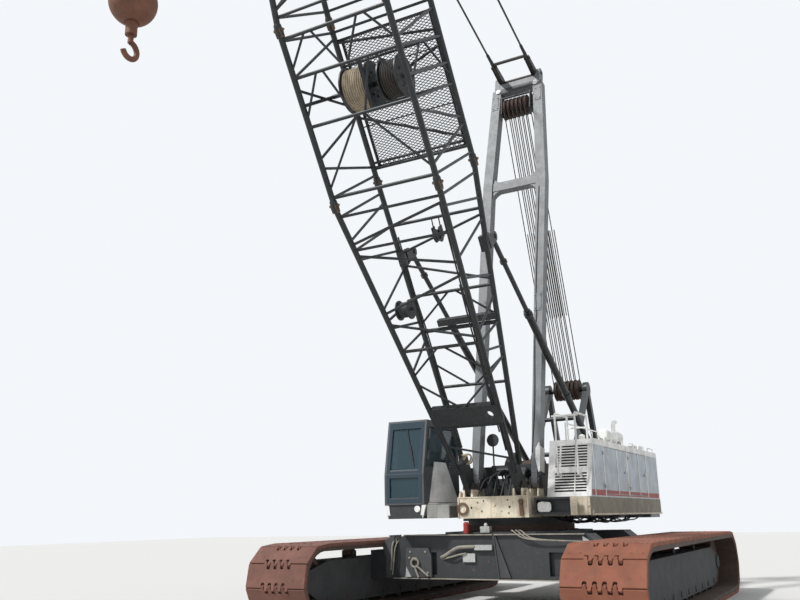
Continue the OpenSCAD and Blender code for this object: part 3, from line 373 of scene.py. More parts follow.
def shoe_edge(at, way, notched):
    """One edge of a shoe across the track, with a notch at every second place and a finger at the others."""
    notch = ((0, 0), (-0.75 * FINGER_DEPTH, 0), (-FINGER_DEPTH, 0.016))
    finger = ((0, 0.010), (0.7 * FINGER_REACH, 0.010), (FINGER_REACH, 0.022))
    points = []
    for k in range(8):
        left, right = (k - 4) * FINGER_W, (k - 3) * FINGER_W
        steps = notch if k % 2 == notched else finger
        points += [(at + way * out, left + inset) for out, inset in steps]
        points += [(at + way * out, right - inset) for out, inset in reversed(steps)]
    return points


def shoe_outline(length):
    """One shoe from above, in place along the track and place across it."""
    half_w, half_len = SHOE_W / 2, length / 2
    points = [(-half_len, -half_w)] + shoe_edge(-half_len, -1, 1) + [(-half_len, half_w)]
    points += [(half_len, half_w)] + shoe_edge(half_len, 1, 0)[::-1] + [(half_len, -half_w)]
    return [point for i, point in enumerate(points) if point != points[i - 1]]


for side, phase, finish, node in (
    (1, -0.172, track_rust_left, "track_left"),
    (-1, -0.060, track_rust_right, "track_right"),
):
    y = side * TRACK_Y
    shoes = Piece(node + "_shoes", finish)
    sockets = Piece(node + "_joints", wheel_rust)
    pitch = LOOP_LEN / SHOES
    for i in range(SHOES):
        start = i * pitch + phase + JOINT_CLEARANCE
        end = (i + 1) * pitch + phase - JOINT_CLEARANCE
        (x0, z0), (x1, z1) = loop_point(start, SHOE_TOP), loop_point(end, SHOE_TOP)
        ahead = Vector((x1 - x0, 0, z1 - z0))
        length = ahead.length
        ahead.normalize()
        outward = Vector((-ahead.z, 0, ahead.x))
        middle = Vector(((x0 + x1) / 2, y, (z0 + z1) / 2))
        shoes.place = frame_at(middle, ahead, (0, 1, 0), outward)
        outline = shoe_outline(length)
        inner = [(a - math.copysign(SHOE_BEVEL, a), b - math.copysign(SHOE_BEVEL, b)) for a, b in outline]
        shoes.skin([
            [(a, b, SHOE_LOW - SHOE_TOP) for a, b in outline],
            [(a, b, -SHOE_BEVEL) for a, b in outline],
            [(a, b, 0) for a, b in inner],
        ])
        for across in (-0.52, -0.36, 0.36, 0.52):
            rim = [(0.014, 0), (0.014, 0.007), (0.026, 0.007), (0.026, 0)]
            shoes.turned((0.06, across, -0.004), (0, 0, 1), rim, 10)
    rings = []
    for k in range(SHOES * 3):
        ring = []
        for rise, edge in ((SHOE_LOW, -1), (SHOE_LOW, 1), (SOCKET_LOW, 1), (SOCKET_LOW, -1)):
            x, z = loop_point(LOOP_LEN * k / (SHOES * 3), rise)
            ring.append((x, y + edge * (SHOE_W / 2 - 0.01), z))
        rings.append(ring)
    sockets.skin(rings, closed=True)
    for corner in shoes.mesh.verts:
        corner.co.z = max(corner.co.z, 0.0)
    shoes.done("lower", replaced=(node,), smooth=False)
    sockets.done("lower", smooth=False)

# The side frames and the carbody are welded plate in grey and black paint, dusty and
# chipped down to rust along their lower edges. Hub covers and axle caps are fixed on the
# frames, and ribs, a bracket, pale plates and a towing ring on the carbody's front.
frame_paint = weathered(
    "side frame grey", (0.060, 0.063, 0.066), (0.05, 0.04, 0.033), 0.7, rust=0.30, streaks=0.5
)
carbody_paint = weathered(
    "carbody black", (0.030, 0.034, 0.038), (0.06, 0.05, 0.04), 0.55, rust=0.25, streaks=0.4
)
dress(frame_paint, "side_frame_left", "side_frame_right")
dress(carbody_paint, "carbody", "turntable", "front_bumper", "winch_frame", "engine", "backstop_rods")
frame_side_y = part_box("side_frame_left")[1][1]
roller_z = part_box("track_rollers")[0][2] + 0.15
caps = Piece("frame_caps", frame_paint)
AXLE_CAP = [(0.003, 0), (0.06, 0), (0.05, 0.016), (0.003, 0.016)]
HUB = [(0.004, 0), (0.145, 0), (0.145, 0.02), (0.09, 0.035), (0.004, 0.035)]
for side in (-1, 1):
    out = side * (frame_side_y + 0.001)
    for x in (-WHEEL_BASE / 2, WHEEL_BASE / 2):
        caps.turned((x, out, AXLE_Z), (0, side, 0), HUB, 32)
        for bolt_x, bolt_z in around(10, 0.12, (x, AXLE_Z)):
            caps.bolt((bolt_x, out + side * 0.018, bolt_z), (0, side, 0), 0.014)
    for i in range(10):
        x = -WHEEL_BASE / 2 + 0.62 + i * (WHEEL_BASE - 1.24) / 9
        caps.turned((x, out, roller_z), (0, side, 0), AXLE_CAP, 20)
caps.done("lower")

CARBODY_TOP = 1.37
BEAM_FACE = 1.536
pale_grey = weathered("pale grey plate", (0.46, 0.47, 0.46), (0.22, 0.19, 0.16), 0.6, rust=0.35, streaks=0.5)
# Pale tan paint: the colour of the dusty hoses and the towing ring, and painted highlight along the beams'
# flange edges
pale_tan_and_highlight_paint = weathered(
    "pale tan and painted highlight", (0.30, 0.28, 0.235), (0.12, 0.09, 0.06), 0.7, rust=0.4, streaks=0.4, patches=5
)
# Pale strips along the edges of the beams' flanges, front and back: painted highlight where the sun catches
# those edges
edges = Piece("carbody_edge_highlights", pale_tan_and_highlight_paint)
for way in (-1, 1):
    near, far = sorted((way * (BEAM_FACE - 0.03), way * (BEAM_FACE + 0.030)))
    edges.block((near, -1.76, 1.316), (far, 1.76, 1.338))
    edges.block((near, -2.00, 0.545), (far, 2.10, 0.562))
edges.done("lower", smooth=False)
# Upright ribs, the bracket behind the ring and the end plate, let into the beam's face
BEHIND = BEAM_FACE - 0.03
fittings = Piece("carbody_plates", frame_paint)
fittings.skin([
    [
        (BEHIND, y - 0.010, 0.56), (BEAM_FACE + 0.03, y - 0.010, 0.56),
        (BEAM_FACE + 0.03, y - 0.10, 1.35), (BEHIND, y - 0.10, 1.35)
    ]
    for y in (0.16, 0.185)
])
for outline, stands_out in (
    ([(0.175, 0.58), (0.38, 0.58), (0.10, 1.34), (0.06, 1.34)], 0.012),
    ([(-1.72, 0.58), (-1.18, 0.58), (-1.18, 0.96), (-1.24, 1.10), (-1.70, 1.10), (-1.72, 0.96)], 0.028),
    ([
        (-2.24, 1.20), (-2.08, 1.28), (-1.94, 1.33), (-2.02, 0.90), (-2.03, 0.56), (-2.13, 0.56),
        (-2.14, 0.95)
    ], 0.05),
):
    fittings.facing(outline, BEHIND, BEAM_FACE + stands_out)
for y in (1.80, 1.93):
    fittings.block((BEHIND, y, 0.60), (BEAM_FACE + 0.016, y + 0.045, 1.12))
fittings.done("lower")
pale = Piece("carbody_pale_plates", pale_grey)
pale.block((BEAM_FACE - 0.02, -0.54, 0.85), (BEAM_FACE + 0.016, -0.30, 1.00))
pale.facing([(1.72, 1.29), (2.12, 1.02), (2.12, 0.93), (1.72, 1.19)], BEHIND, BEAM_FACE + 0.012)
pale.facing([(-1.72, 0.58), (-1.60, 0.58), (-1.70, 0.76)], BEAM_FACE + 0.02, BEAM_FACE + 0.05)
pale.block((BEAM_FACE - 0.02, -0.29, 1.06), (BEAM_FACE + 0.05, 0.05, 1.15))
for x0, x1 in ((1.00, 1.20), (1.24, 1.46)):
    pale.block((x0, -2.145, 1.05), (x1, -2.115, 1.33))
pale.done("lower")

tow = Piece("tow_ring", pale_tan_and_highlight_paint)
tow_circle = around(24, 0.075, (-1.51, 0.83))
tow.bar([(BEAM_FACE + 0.060, y, z) for y, z in tow_circle], 0.022, 10, closed=True)
tow.bar([(BEAM_FACE + 0.060, -1.46, 0.77), (BEAM_FACE + 0.060, -1.24, 0.60)], 0.020, 10)
tow.bar([(BEAM_FACE + 0.055, -1.52, 0.76), (BEAM_FACE + 0.055, -1.44, 0.58)], 0.022, 10)
tow.block((BEAM_FACE + 0.02, -1.56, 0.88), (BEAM_FACE + 0.075, -1.46, 0.93))
for y, z in ((-1.62, 1.03), (-1.30, 1.03), (-1.64, 0.92), (-1.26, 0.66)):
    tow.bolt((BEAM_FACE + 0.026, y, z), (1, 0, 0), 0.022)
tow.done("lower")
ring_bolts = Piece("slew_ring_bolts", wheel_rust)
for x, y in around(44, 1.10):
    ring_bolts.bolt((x, y, CARBODY_TOP - 0.002), (0, 0, 1), 0.022, 0.024)
ring_bolts.done("lower")

# Dusty hydraulic hoses cross the carbody's face from the bracket to the pale plates and
# loop down beside the right track. Three thinner ones run from under the turntable.
lower_hoses = Piece("carbody_hoses", pale_tan_and_highlight_paint)
for radius, *route in (
    (
        0.030, (1.50, -1.00, 0.93), (1.57, -0.88, 0.97), (1.58, -0.66, 1.09), (1.58, -0.50, 1.115),
        (1.57, -0.28, 1.12)
    ),
    (0.016, (1.50, -0.98, 0.90), (1.58, -0.80, 0.93), (1.58, -0.60, 0.98), (1.56, -0.46, 1.00)),
    (
        0.016, (1.50, -1.94, 1.30), (1.60, -1.98, 1.16), (1.60, -2.00, 0.90), (1.54, -2.05, 0.66),
        (1.20, -2.12, 0.56)
    ),
    (0.012, (1.50, -1.90, 1.24), (1.59, -1.93, 1.10), (1.60, -1.96, 0.84), (1.55, -2.02, 0.62)),
):
    lower_hoses.hose(route, radius)
for y in (0.34, 0.42, 0.50):
    route = [(0.9, y * 0.6, 1.40), (1.30, y, 1.385), (1.50, y + 0.1, 1.385), (1.60, y + 0.4, 1.25)]
    lower_hoses.hose(route + [(1.56, y + 1.25, 1.20)], 0.012)
lower_hoses.done("lower")

# A small red steel bottle and a pale swivel block stand on the carbody's top, just ahead
# of the slewing ring. The house's stripe has the same red paint.
red_paint = weathered(
    "red paint", (0.36, 0.035, 0.022), (0.10, 0.03, 0.02), 0.5, rust=0.2, streaks=0.3, bump=0.1
)
red_bottle = Piece("red_cylinder", red_paint)
red_bottle.bar([(1.42, -0.51, 1.345), (1.42, -0.51, 1.53), (1.42, -0.51, 1.555)], [0.052, 0.052, 0.03], 20)
red_bottle.done("lower")
knob = Piece("swivel_block", pale_grey)
knob.block((1.28, -0.24, 1.36), (1.40, -0.06, 1.47))
knob.bar([(1.34, -0.15, 1.46), (1.34, -0.15, 1.50), (1.34, -0.15, 1.53)], [0.03, 0.036, 0.016], 14)
knob.done("lower")

# The revolving frame is welded plate. Its front beam is in cream paint with rust runs,
# dark at the worn tops of its lugs, and carries rusty bosses, pointed side plates and
# bolts. The decks behind it are tan grey, and paler under the cab.
cream_paint = weathered(
    "cream with rust runs", (0.76, 0.69, 0.54), (0.42, 0.24, 0.11), 0.55, rust=0.42, streaks=0.75, patches=4,
    dark_above=2.125
)
skirt_paint = weathered(
    "skirt tan grey", (0.285, 0.262, 0.205), (0.13, 0.11, 0.09), 0.7, rust=0.25, streaks=0.45
)
dress(cream_paint, "foot_frame")
dress(skirt_paint, "deck_left", "bed")
cab_skirt_paint = weathered(
    "cab skirt grey", (0.88, 0.88, 0.82), (0.42, 0.38, 0.30), 0.6, rust=0.3, streaks=0.5
)
dress(cab_skirt_paint, "deck_right")
joint_rust = weathered(
    "rusty joints", (0.17, 0.100, 0.062), (0.05, 0.03, 0.02), 0.75, streaks=0.3, patches=6, bump=0.5
)
BEAM_X, BEAM_HALF_W, DECK_LOW, DECK_TOP = 1.33, 0.69, 1.615, 2.00
bosses = Piece("front_beam_bosses", joint_rust)
boss = [(0.075, -0.01), (0.115, -0.01), (0.115, 0.03), (0.075, 0.03)]
bosses.turned((BEAM_X, -0.60, 1.79), (1, 0, 0), boss, 28)
bosses.block((BEAM_X - 0.01, 0.535, 1.64), (BEAM_X + 0.045, 0.60, 1.93))
bosses.bar([(BEAM_X + 0.03, 0.57, 1.90), (BEAM_X + 0.065, 0.57, 1.90)], 0.045, 20)
for y, z in ((-0.30, 1.90), (-0.18, 1.93), (-0.22, 1.74), (0.30, 1.93), (0.31, 1.70)):
    bosses.bolt((BEAM_X - 0.001, y, z), (1, 0, 0), 0.014)
bosses.done("upper")
side_plates = Piece("front_beam_side_plates", cream_paint)
for side in (-1, 1):
    side_plates.plate(
        [(1.02, DECK_TOP - 0.02), (BEAM_X, DECK_TOP - 0.02), (BEAM_X - 0.02, 2.03), (BEAM_X - 0.06, 2.12)],
        side * (BEAM_HALF_W - 0.016), 0.028,
    )
    side_plates.block(
        (BEAM_X - 0.002, side * 0.69 - 0.012, DECK_LOW), (BEAM_X + 0.02, side * 0.69 + 0.012, DECK_TOP)
    )
side_plates.block((BEAM_X - 0.01, -0.70, DECK_TOP - 0.016), (BEAM_X + 0.012, 0.70, DECK_TOP + 0.003))
side_plates.done("upper")

# Dark machinery of cast and welded steel is bolted down between the feet of the boom and
# the mast: a raised block, a pulley, round fittings and a disc on a post, under rubber hoses.
machinery = Piece("front_machinery", carbody_paint)
machinery.block((0.02, -1.02, 1.995), (0.28, 0.44, 2.36))
machinery.block((0.05, -1.00, 2.352), (0.22, -0.436, 2.60))
machinery.block((0.10, -0.44, 2.42), (0.26, 0.44, 2.62))
for y in (-0.43, 0.40):
    machinery.block((0.06, y, 2.35), (0.24, y + 0.03, 2.43))
machinery.block((0.40, -0.40, 1.995), (0.86, -0.10, 2.16))
machinery.block((0.44, 0.02, 1.995), (0.80, 0.34, 2.22))
for route, radius, sides in (
    ([(0.62, -0.32, 2.15), (0.62, -0.32, 2.30)], 0.07, 20),
    ([(0.30, -0.30, 2.52), (0.30, 0.30, 2.52)], 0.045, 16),
    ([(0.62, 0.18, 2.21), (0.62, 0.18, 2.27)], 0.11, 24),
    ([(0.20, -0.41, 2.61), (0.20, -0.41, 3.02)], 0.016, 10),
    ([(0.185, -0.41, 3.13), (0.205, -0.41, 3.13), (0.225, -0.41, 3.13)], [0.10, 0.13, 0.125], 28),
):
    machinery.bar(route, radius, sides)
pulley = [(0.19, -0.06), (0.24, -0.06), (0.24, 0.06), (0.19, 0.06)]
machinery.turned((0.36, 0.30, 2.30), (0, 1, 0), pulley, 32)
for k in range(6):
    machinery.bolt((0.279, -0.35 + 0.14 * k, 2.28), (1, 0, 0), 0.018, 0.02)
machinery.done("upper")
hose_black = weathered("hose rubber", (0.022, 0.022, 0.024), (0.07, 0.06, 0.05), 0.55, streaks=0.2, bump=0.1)
deck_lines = Piece("front_hoses", hose_black)
for k in range(6):
    y = -0.36 + 0.14 * k
    rise = 0.10 + 0.05 * (k % 3)
    deck_lines.hose([
        (0.27, y * 0.8, 2.20), (0.48, y * 0.7, 2.30 + rise), (0.80, y, 2.22 + rise), (1.02, y * 1.1, 2.08),
        (1.10, y * 1.15, 1.995)
    ], 0.014 + 0.004 * (k % 2))
deck_lines.done("upper")

# The engine house is folded sheet steel on the left deck: white paint round its louvres,
# with a dark radiator behind them. Its sides and hinged doors are the same white paint with
# painted shade in blue grey, and carry white mouldings and one red stripe along the bottom.
house_white = weathered(
    "house white", (0.93, 0.93, 0.90), (0.52, 0.47, 0.40), 0.45, rust=0.08, streaks=0.30, bump=0.1
)
# The house's sides and doors: its white paint with painted shade, blue grey as white looks in the sky's
# light alone
house_white_painted_shade = weathered(
    "house white with painted shade", (0.47, 0.54, 0.59), (0.32, 0.34, 0.36), 0.42, rust=0.10, streaks=0.35, bump=0.1
)
dress(house_white, "house_shell", "lamps")
dress(house_white_painted_shade, "house_door_front", "house_door_rear")
HOUSE_FRONT, HOUSE_REAR, HOUSE_RAKE = 0.92, -4.57, 0.34
HOUSE_Z, HOUSE_TOP = 1.96, 3.01
HOUSE_IN, HOUSE_SIDE = 0.915, 1.74
SHEET_TOP = HOUSE_TOP - 0.10


def front_x(z):
    """Where the sloping front of the house stands at a height."""
    return HOUSE_FRONT - HOUSE_RAKE * (z - HOUSE_Z) / (HOUSE_TOP - HOUSE_Z)


radiator = Piece("radiator_core", hose_black)
core_low, core_high = HOUSE_Z + 0.05, HOUSE_TOP - 0.06
core = ((0.050, core_low), (0.050, core_high), (0.085, core_high), (0.085, core_low))
radiator.skin([
    [(front_x(z) - depth, y, z) for depth, z in core]
    for y in (HOUSE_IN + 0.05, HOUSE_SIDE - 0.05)
])
radiator.done("upper")
louvre_frame = Piece("louvre_frames", house_white)
for low, high, y in ((0.52, 1.00, HOUSE_IN + 0.205), (0.52, 1.00, 1.42), (0.06, 0.48, 1.42)):
    width = 0.035 if y < 1.4 else 0.020
    corners = ((-0.010, 0), (0.004, 0), (0.004, width), (-0.010, width))
    louvre_frame.skin([
        [(front_x(HOUSE_Z + at) + out, y + across, HOUSE_Z + at) for out, across in corners]
        for at in (low, high)
    ])
louvre_frame.plate([
    (HOUSE_REAR - 0.002, SHEET_TOP), (HOUSE_REAR + 0.03, HOUSE_TOP + 0.010),
    (front_x(HOUSE_TOP) - 0.02, HOUSE_TOP + 0.010), (front_x(SHEET_TOP), SHEET_TOP)
], HOUSE_SIDE - 0.027, 0.066)
for x in (0.62, -0.06, -1.81, -3.47, -4.52):
    louvre_frame.block((x, HOUSE_SIDE - 0.002, HOUSE_Z + 0.02), (x + 0.04, HOUSE_SIDE + 0.011, SHEET_TOP))
louvre_frame.done("upper", smooth=False)

side_sheet = Piece("house_side_sheets", house_white_painted_shade)
SHEET_LOW = HOUSE_Z + 0.01
DOORS_REAR, DOORS_FRONT, DOOR_LOW, DOOR_HIGH = -3.44, -0.02, 2.030, 2.888
front_sheet = [(DOORS_FRONT, SHEET_LOW), (0.88, SHEET_LOW), (0.62, SHEET_TOP), (DOORS_FRONT, SHEET_TOP)]
side_sheet.plate(front_sheet, HOUSE_SIDE + 0.001, 0.006)
for x0, z0, x1, z1 in (
    (HOUSE_REAR + 0.01, SHEET_LOW, -3.435, SHEET_TOP),
    (DOORS_REAR, 2.905, DOORS_FRONT, SHEET_TOP),
    (DOORS_REAR, SHEET_LOW, DOORS_FRONT, HOUSE_Z + 0.055),
):
    side_sheet.block((x0, HOUSE_SIDE - 0.002, z0), (x1, HOUSE_SIDE + 0.004, z1))
side_sheet.done("upper", smooth=False)

STRIPE_LOW, STRIPE_HIGH = 1.985, 2.085
stripes = Piece("house_stripe", red_paint)
stripes.block((HOUSE_REAR + 0.02, HOUSE_SIDE, STRIPE_LOW), (-3.436, HOUSE_SIDE + 0.0065, STRIPE_HIGH))
front_stripe = [(-0.012, STRIPE_LOW), (0.868, STRIPE_LOW), (0.845, STRIPE_HIGH), (-0.012, STRIPE_HIGH)]
stripes.plate(front_stripe, HOUSE_SIDE + 0.003, 0.007)
stripes.block((DOORS_REAR, HOUSE_SIDE, STRIPE_LOW), (-0.01, HOUSE_SIDE + 0.0065, 2.013))
stripes.done("upper", smooth=False)
# Each door's name, its ends along the house and its upright moulding's place
for name, x0, x1, middle in (("front", -1.75, 0.0, -1.00), ("rear", -3.42, -1.87, -2.74)):
    body = name + "_house_door"
    band = Piece("door_stripe_" + name, red_paint)
    band.block((x0 + 0.010, HOUSE_SIDE - 0.002, DOOR_LOW), (x1 - 0.010, HOUSE_SIDE + 0.0035, STRIPE_HIGH))
    band.done(body, smooth=False)
    trim = Piece("door_trim_" + name, house_white)
    trim.block((middle - 0.02, HOUSE_SIDE - 0.002, DOOR_LOW), (middle + 0.02, HOUSE_SIDE + 0.010, DOOR_HIGH))
    trim.pin(x0 + 0.10, 2.50, HOUSE_SIDE + 0.004, HOUSE_SIDE + 0.020, 0.03)
    trim.done(body, smooth=False)

# The roof carries a long pale silencer with its pipe, two low boxes, grab rails and the
# tall front rails. All are painted steel, held on the roof sheet by brackets.
ROOF_Z = 3.005
roof = Piece("roof_gear", house_white)
roof.bar([(x, 1.20, 3.32) for x in (-2.10, -2.16, -3.30, -3.36)], [0.09, 0.13, 0.13, 0.09], 28)
roof.bar([(-3.0, 1.20, 3.42), (-3.0, 1.20, 3.60), (-3.05, 1.20, 3.66), (-3.20, 1.20, 3.68)], 0.045, 16)
for x in (-2.35, -3.12):
    roof.block((x - 0.02, 1.08, ROOF_Z), (x + 0.02, 1.32, 3.24))
    strap = [(0.128, -0.02), (0.138, -0.02), (0.138, 0.02), (0.128, 0.02)]
    roof.turned((x, 1.20, 3.32), (1, 0, 0), strap, 28)
roof.block((-4.30, 1.02, ROOF_Z), (-3.62, 1.50, 3.16))
roof.block((-1.60, 1.05, ROOF_Z), (-1.10, 1.45, 3.10))
roof.bar([(0.10, 1.40, 3.0), (0.10, 1.40, 3.12), (0.10, 1.40, 3.14)], [0.06, 0.06, 0.02], 20)
roof.done("upper", replaced=("muffler",))
rails = Piece("house_rails", house_white)
for y in (1.18, 1.56):
    front_rail = ((front_x(2.32) + 0.035, 2.32), (1.00, 2.36), (1.00, 3.44), (0.96, 3.47), (0.30, 3.47))
    rails.bar([(x, y, z) for x, z in front_rail], 0.019, 12)
    rails.bar([(0.30, y, 3.47), (0.28, y, 3.44), (0.28, y, 3.0)], 0.019, 12)
    rails.bar([(front_x(2.36) - 0.01, y, 2.36), (1.00, y, 2.40)], 0.012, 8)
rails.pin(1.00, 3.42, 1.12, 1.62, 0.019, 12)
rails.pin(0.28, 3.25, 1.18, 1.56, 0.015, 10)
grab = ((0, 3.0), (0, 3.09), (-0.03, 3.12), (-0.47, 3.12), (-0.50, 3.09), (-0.50, 3.0))
for x in (-0.5, -1.4, -2.3, -3.2, -4.1):
    rails.bar([(x + along, 1.66, z) for along, z in grab], 0.013, 8)
for x in (-0.2, -2.0, -4.0):
    rails.bar([(x, 0.99, 3.0), (x, 0.99, 3.42)], 0.015, 8)
rails.bar([(-0.2, 0.99, 3.41), (-4.0, 0.99, 3.41)], 0.015, 8)
rails.done("upper", replaced=("handrails",))

# A cream steel lip is welded along the skirt's lower edge, with an end plate beside the
# bumper. The bumper's lamp is a rounded lens, and hoses sag under the deck behind it.
lip = Piece("skirt_lip", cream_paint)
for low, high in (
    ((-4.50, 1.735, 1.632), (0.92, 1.790, 1.662)),
    ((0.90, 1.735, 1.632), (0.98, 1.765, 1.72)),
    ((1.185, 1.435, 1.64), (1.208, 1.555, 1.965)),
    ((1.05, 1.47, 1.64), (1.07, 1.75, 1.955)),
):
    lip.block(low, high)
lip.done("upper", smooth=False)
bumper_lamp = Piece("bumper_lamp", house_white)
for size, x0, x1 in ((1.0, 1.19, 1.212), (0.82, 1.212, 1.222)):
    outline = []
    for side_y, side_z, first in ((1, 1, 0), (-1, 1, 90), (-1, -1, 180), (1, -1, 270)):
        outline += arc(0.05, first, first + 90, 15, (side_y * 0.075, side_z * 0.035))
    bumper_lamp.facing([(0.95 + y * size, 1.79 + z * size) for y, z in outline], x0, x1)
bumper_lamp.done("upper")
under = Piece("deck_hoses", hose_black)
rng = random.Random(7)
for k in range(10):
    y = 0.98 + 0.075 * k
    start = 0.75 - 0.15 * k
    sag = []
    for i in range(6):
        across = y + rng.uniform(-0.05, 0.05)
        sag.append(
            (start - 0.42 * i, across, 1.62 - 0.10 * math.sin(math.pi * i / 5) - rng.uniform(0, 0.03))
        )
    under.hose(sag, 0.013 + 0.004 * (k % 3))
under.done("upper")

# The cab is welded sheet steel round panes of dark tinted safety glass, with a vinyl seat,
# levers, gaskets, a wiper and grab rails. Its pillars are dark, and a pale panel faces the
# boom. The border round its front panes is the same glass, dark over the frame.
cab_paint = weathered(
    "cab grey", (0.070, 0.080, 0.087), (0.075, 0.075, 0.07), 0.5, rust=0.12, streaks=0.4, bump=0.1
)
panel_grey = weathered(
    "cab panel grey", (0.90, 0.90, 0.88), (0.50, 0.50, 0.47), 0.5, rust=0.10, streaks=0.3, bump=0.1
)
dress(cab_paint, "cab_shell", "cab_door")
seat_vinyl = weathered("seat vinyl", (0.03, 0.03, 0.032), (0.06, 0.06, 0.06), 0.6, streaks=0.1)
dress(seat_vinyl, "cab_seat")
window_glass = bpy.data.materials.new("tinted glass")
window_glass.use_nodes = True
pane = window_glass.node_tree.nodes["Principled BSDF"]
pane.inputs["Base Color"].default_value = (0.028, 0.062, 0.078, 1)
pane.inputs["Roughness"].default_value = 0.05
pane.inputs["Alpha"].default_value = 0.70
dress(window_glass, "cab_glass")
screen_glass = window_glass.copy()
screen_glass.name = "dark glazed border"
outer_pane = screen_glass.node_tree.nodes["Principled BSDF"]
outer_pane.inputs["Base Color"].default_value = (0.022, 0.042, 0.058, 1)
outer_pane.inputs["Roughness"].default_value = 0.08
outer_pane.inputs["Alpha"].default_value = 1.0
CAB_IN, CAB_OUT, CAB_Z, CAB_TOP = -1.09, -1.93, 1.88, 3.46
CAB_FRONT, CAB_REAR, CAB_RAKE = 1.96, 0.42, 0.20
SCREEN_LOW, SCREEN_HIGH = CAB_Z + 0.56, CAB_TOP - 0.13


def screen_x(z):
    """The windscreen's outer face at a height."""
    return CAB_FRONT - 0.022 - (CAB_RAKE - 0.024) * max(0.0, z - SCREEN_LOW) / (SCREEN_HIGH - SCREEN_LOW)


gasket = Piece("cab_gaskets", hose_black)
for y, x0 in ((CAB_IN + 0.003, CAB_REAR + 0.13), (CAB_OUT - 0.003, 1.39)):
    sill, head = CAB_Z + 0.70, CAB_TOP - 0.13
    window = [(x0, sill), (CAB_FRONT - 0.12, sill), (CAB_FRONT - CAB_RAKE - 0.07, head), (x0, head)]
    gasket.bar([(x, y, z) for x, z in window], 0.011, 6, closed=True)
gasket.bar([(screen_x(3.28) + 0.02, -1.50, 3.28), (screen_x(2.70) + 0.018, -1.36, 2.70)], 0.008, 6)
gasket.bar([(screen_x(2.98) + 0.016, -1.41, 2.98), (screen_x(2.58) + 0.014, -1.31, 2.58)], 0.011, 6)
for y in (-1.75, -1.36):
    gasket.block((0.95, y, 1.93), (1.25, y + 0.09, 2.62))
    gasket.bar([(1.18, y + 0.045, 2.61), (1.22, y + 0.045, 2.78)], 0.010, 8)
    gasket.bar([(1.22, y + 0.045, 2.77), (1.225, y + 0.045, 2.81)], [0.02, 0.024], 10)
gasket.done("upper")
cab_panels = Piece("cab_side_panel", panel_grey)
cab_panels.plate([(0.50, 1.925), (1.76, 1.925), (1.52, 2.675), (1.05, 2.675)], CAB_IN + 0.010, 0.018)
cab_panels.block((0.46, CAB_IN - 0.002, 1.885), (1.80, CAB_IN + 0.020, 1.915))
cab_panels.block((0.46, CAB_IN - 0.02, 1.64), (1.82, CAB_IN + 0.004, 1.88))
cab_panels.done("upper", smooth=False)
cab_front = Piece("cab_lower_front", carbody_paint)
cab_front.block((1.74, CAB_OUT + 0.06, 1.63), (1.935, CAB_IN - 0.06, 1.876))
cab_front.done("upper", smooth=False)
cab_plates = Piece("cab_side_plates", house_white)
for y, lean in ((CAB_OUT + 0.005, 1), (CAB_IN - 0.055, -1)):
    foot_y = y + 0.05 * lean
    cab_plates.skin([
        [(x0, y0, z), (x1, y0, z), (x1, y1, z), (x0, y1, z)]
        for x0, x1, y0, y1, z in (
            (1.92, 1.952, y, y + 0.08, 1.875), (1.90, 1.93, foot_y, foot_y + 0.05, 1.64)
        )
    ])
cab_plates.done("upper", smooth=False)
# Dark glazed border over the frame round the two front panes: y and z of each strip
EDGE_OUT, EDGE_IN, STRIP_W = CAB_OUT + 0.045, CAB_IN - 0.045, 0.07
BORDER = [
    (EDGE_OUT, EDGE_IN, low, high)
    for low, high in ((1.92, 1.99), (2.375, SCREEN_LOW), (SCREEN_LOW, 2.50), (3.30, 3.425))
] + [
    (edge, edge + STRIP_W, low, high)
    for edge in (EDGE_OUT, EDGE_IN - STRIP_W) for low, high in ((1.99, 2.375), (2.50, 3.30))
]


def cab_face_x(z):
    """The outer face of the cab's front frame at a height."""
    return CAB_FRONT - CAB_RAKE * max(0.0, z - SCREEN_LOW) / (CAB_TOP - SCREEN_LOW)


screen = Piece("cab_front_border", screen_glass)
for y0, y1, z0, z1 in BORDER:
    screen.skin([
        [(cab_face_x(z) + out, y, z) for out, z in ((0.0005, z0), (0.0005, z1), (0.006, z1), (0.006, z0))]
        for y in (y0, y1)
    ])
screen.done("upper", smooth=False)
grabs = Piece("cab_grab_rails", cab_paint)
grabs.block(
    (CAB_FRONT + 0.004, CAB_OUT + 0.05, SCREEN_LOW - 0.008),
    (CAB_FRONT + 0.009, CAB_IN - 0.05, SCREEN_LOW + 0.008),
)
for x, wall, out, low, high, radius in (
    (0.50, CAB_IN + 0.002, CAB_IN + 0.055, 2.66, 3.24, 0.012),
    (1.50, CAB_OUT - 0.002, CAB_OUT - 0.035, 2.30, 2.54, 0.011),
):
    grabs.bar([(x, wall, low), (x, out, low + 0.02), (x, out, high - 0.02), (x, wall, high)], radius, 8)
grabs.block((0.75, -1.75, CAB_TOP - 0.004), (1.25, -1.27, CAB_TOP + 0.035))
grabs.done("upper")

# The boom sections are welded tube in black paint, rubbed pale along the lacings and
# rusty at the pinned joints. Each is four chords with rungs and braces on its four faces.
boom_black = weathered(
    "boom black", (0.012, 0.016, 0.018), (0.055, 0.055, 0.052), 0.42, rust=0.16, streaks=0.25, patches=5,
    bump=0.15
)
dress(boom_black, "gantry", "backstop_tubes")
sheave_rust = weathered(
    "sheave rust", (0.055, 0.030, 0.021), (0.03, 0.022, 0.018), 0.7, streaks=0.3, bump=0.4
)
dress(sheave_rust, "tip_sheaves", "mast_sheaves", "gantry_sheaves", "winch_drums")
BOOM_ANGLE = math.radians(56.8)
boom_place = Matrix.Translation((1.18, 0, 2.14)) @ Matrix.Rotation(-BOOM_ANGLE, 4, "Y")
CHORD_R = 0.050
LACE_R = 0.024
RUNG_R = 0.029
BRACE_R = 0.020
CHORD_Y, CHORD_N = 0.955, 0.850
BASE_LEN, INSERT_LEN, BOOM_LEN = 5.95, 2.88, 16.43
INSERT_TOP = BASE_LEN + INSERT_LEN
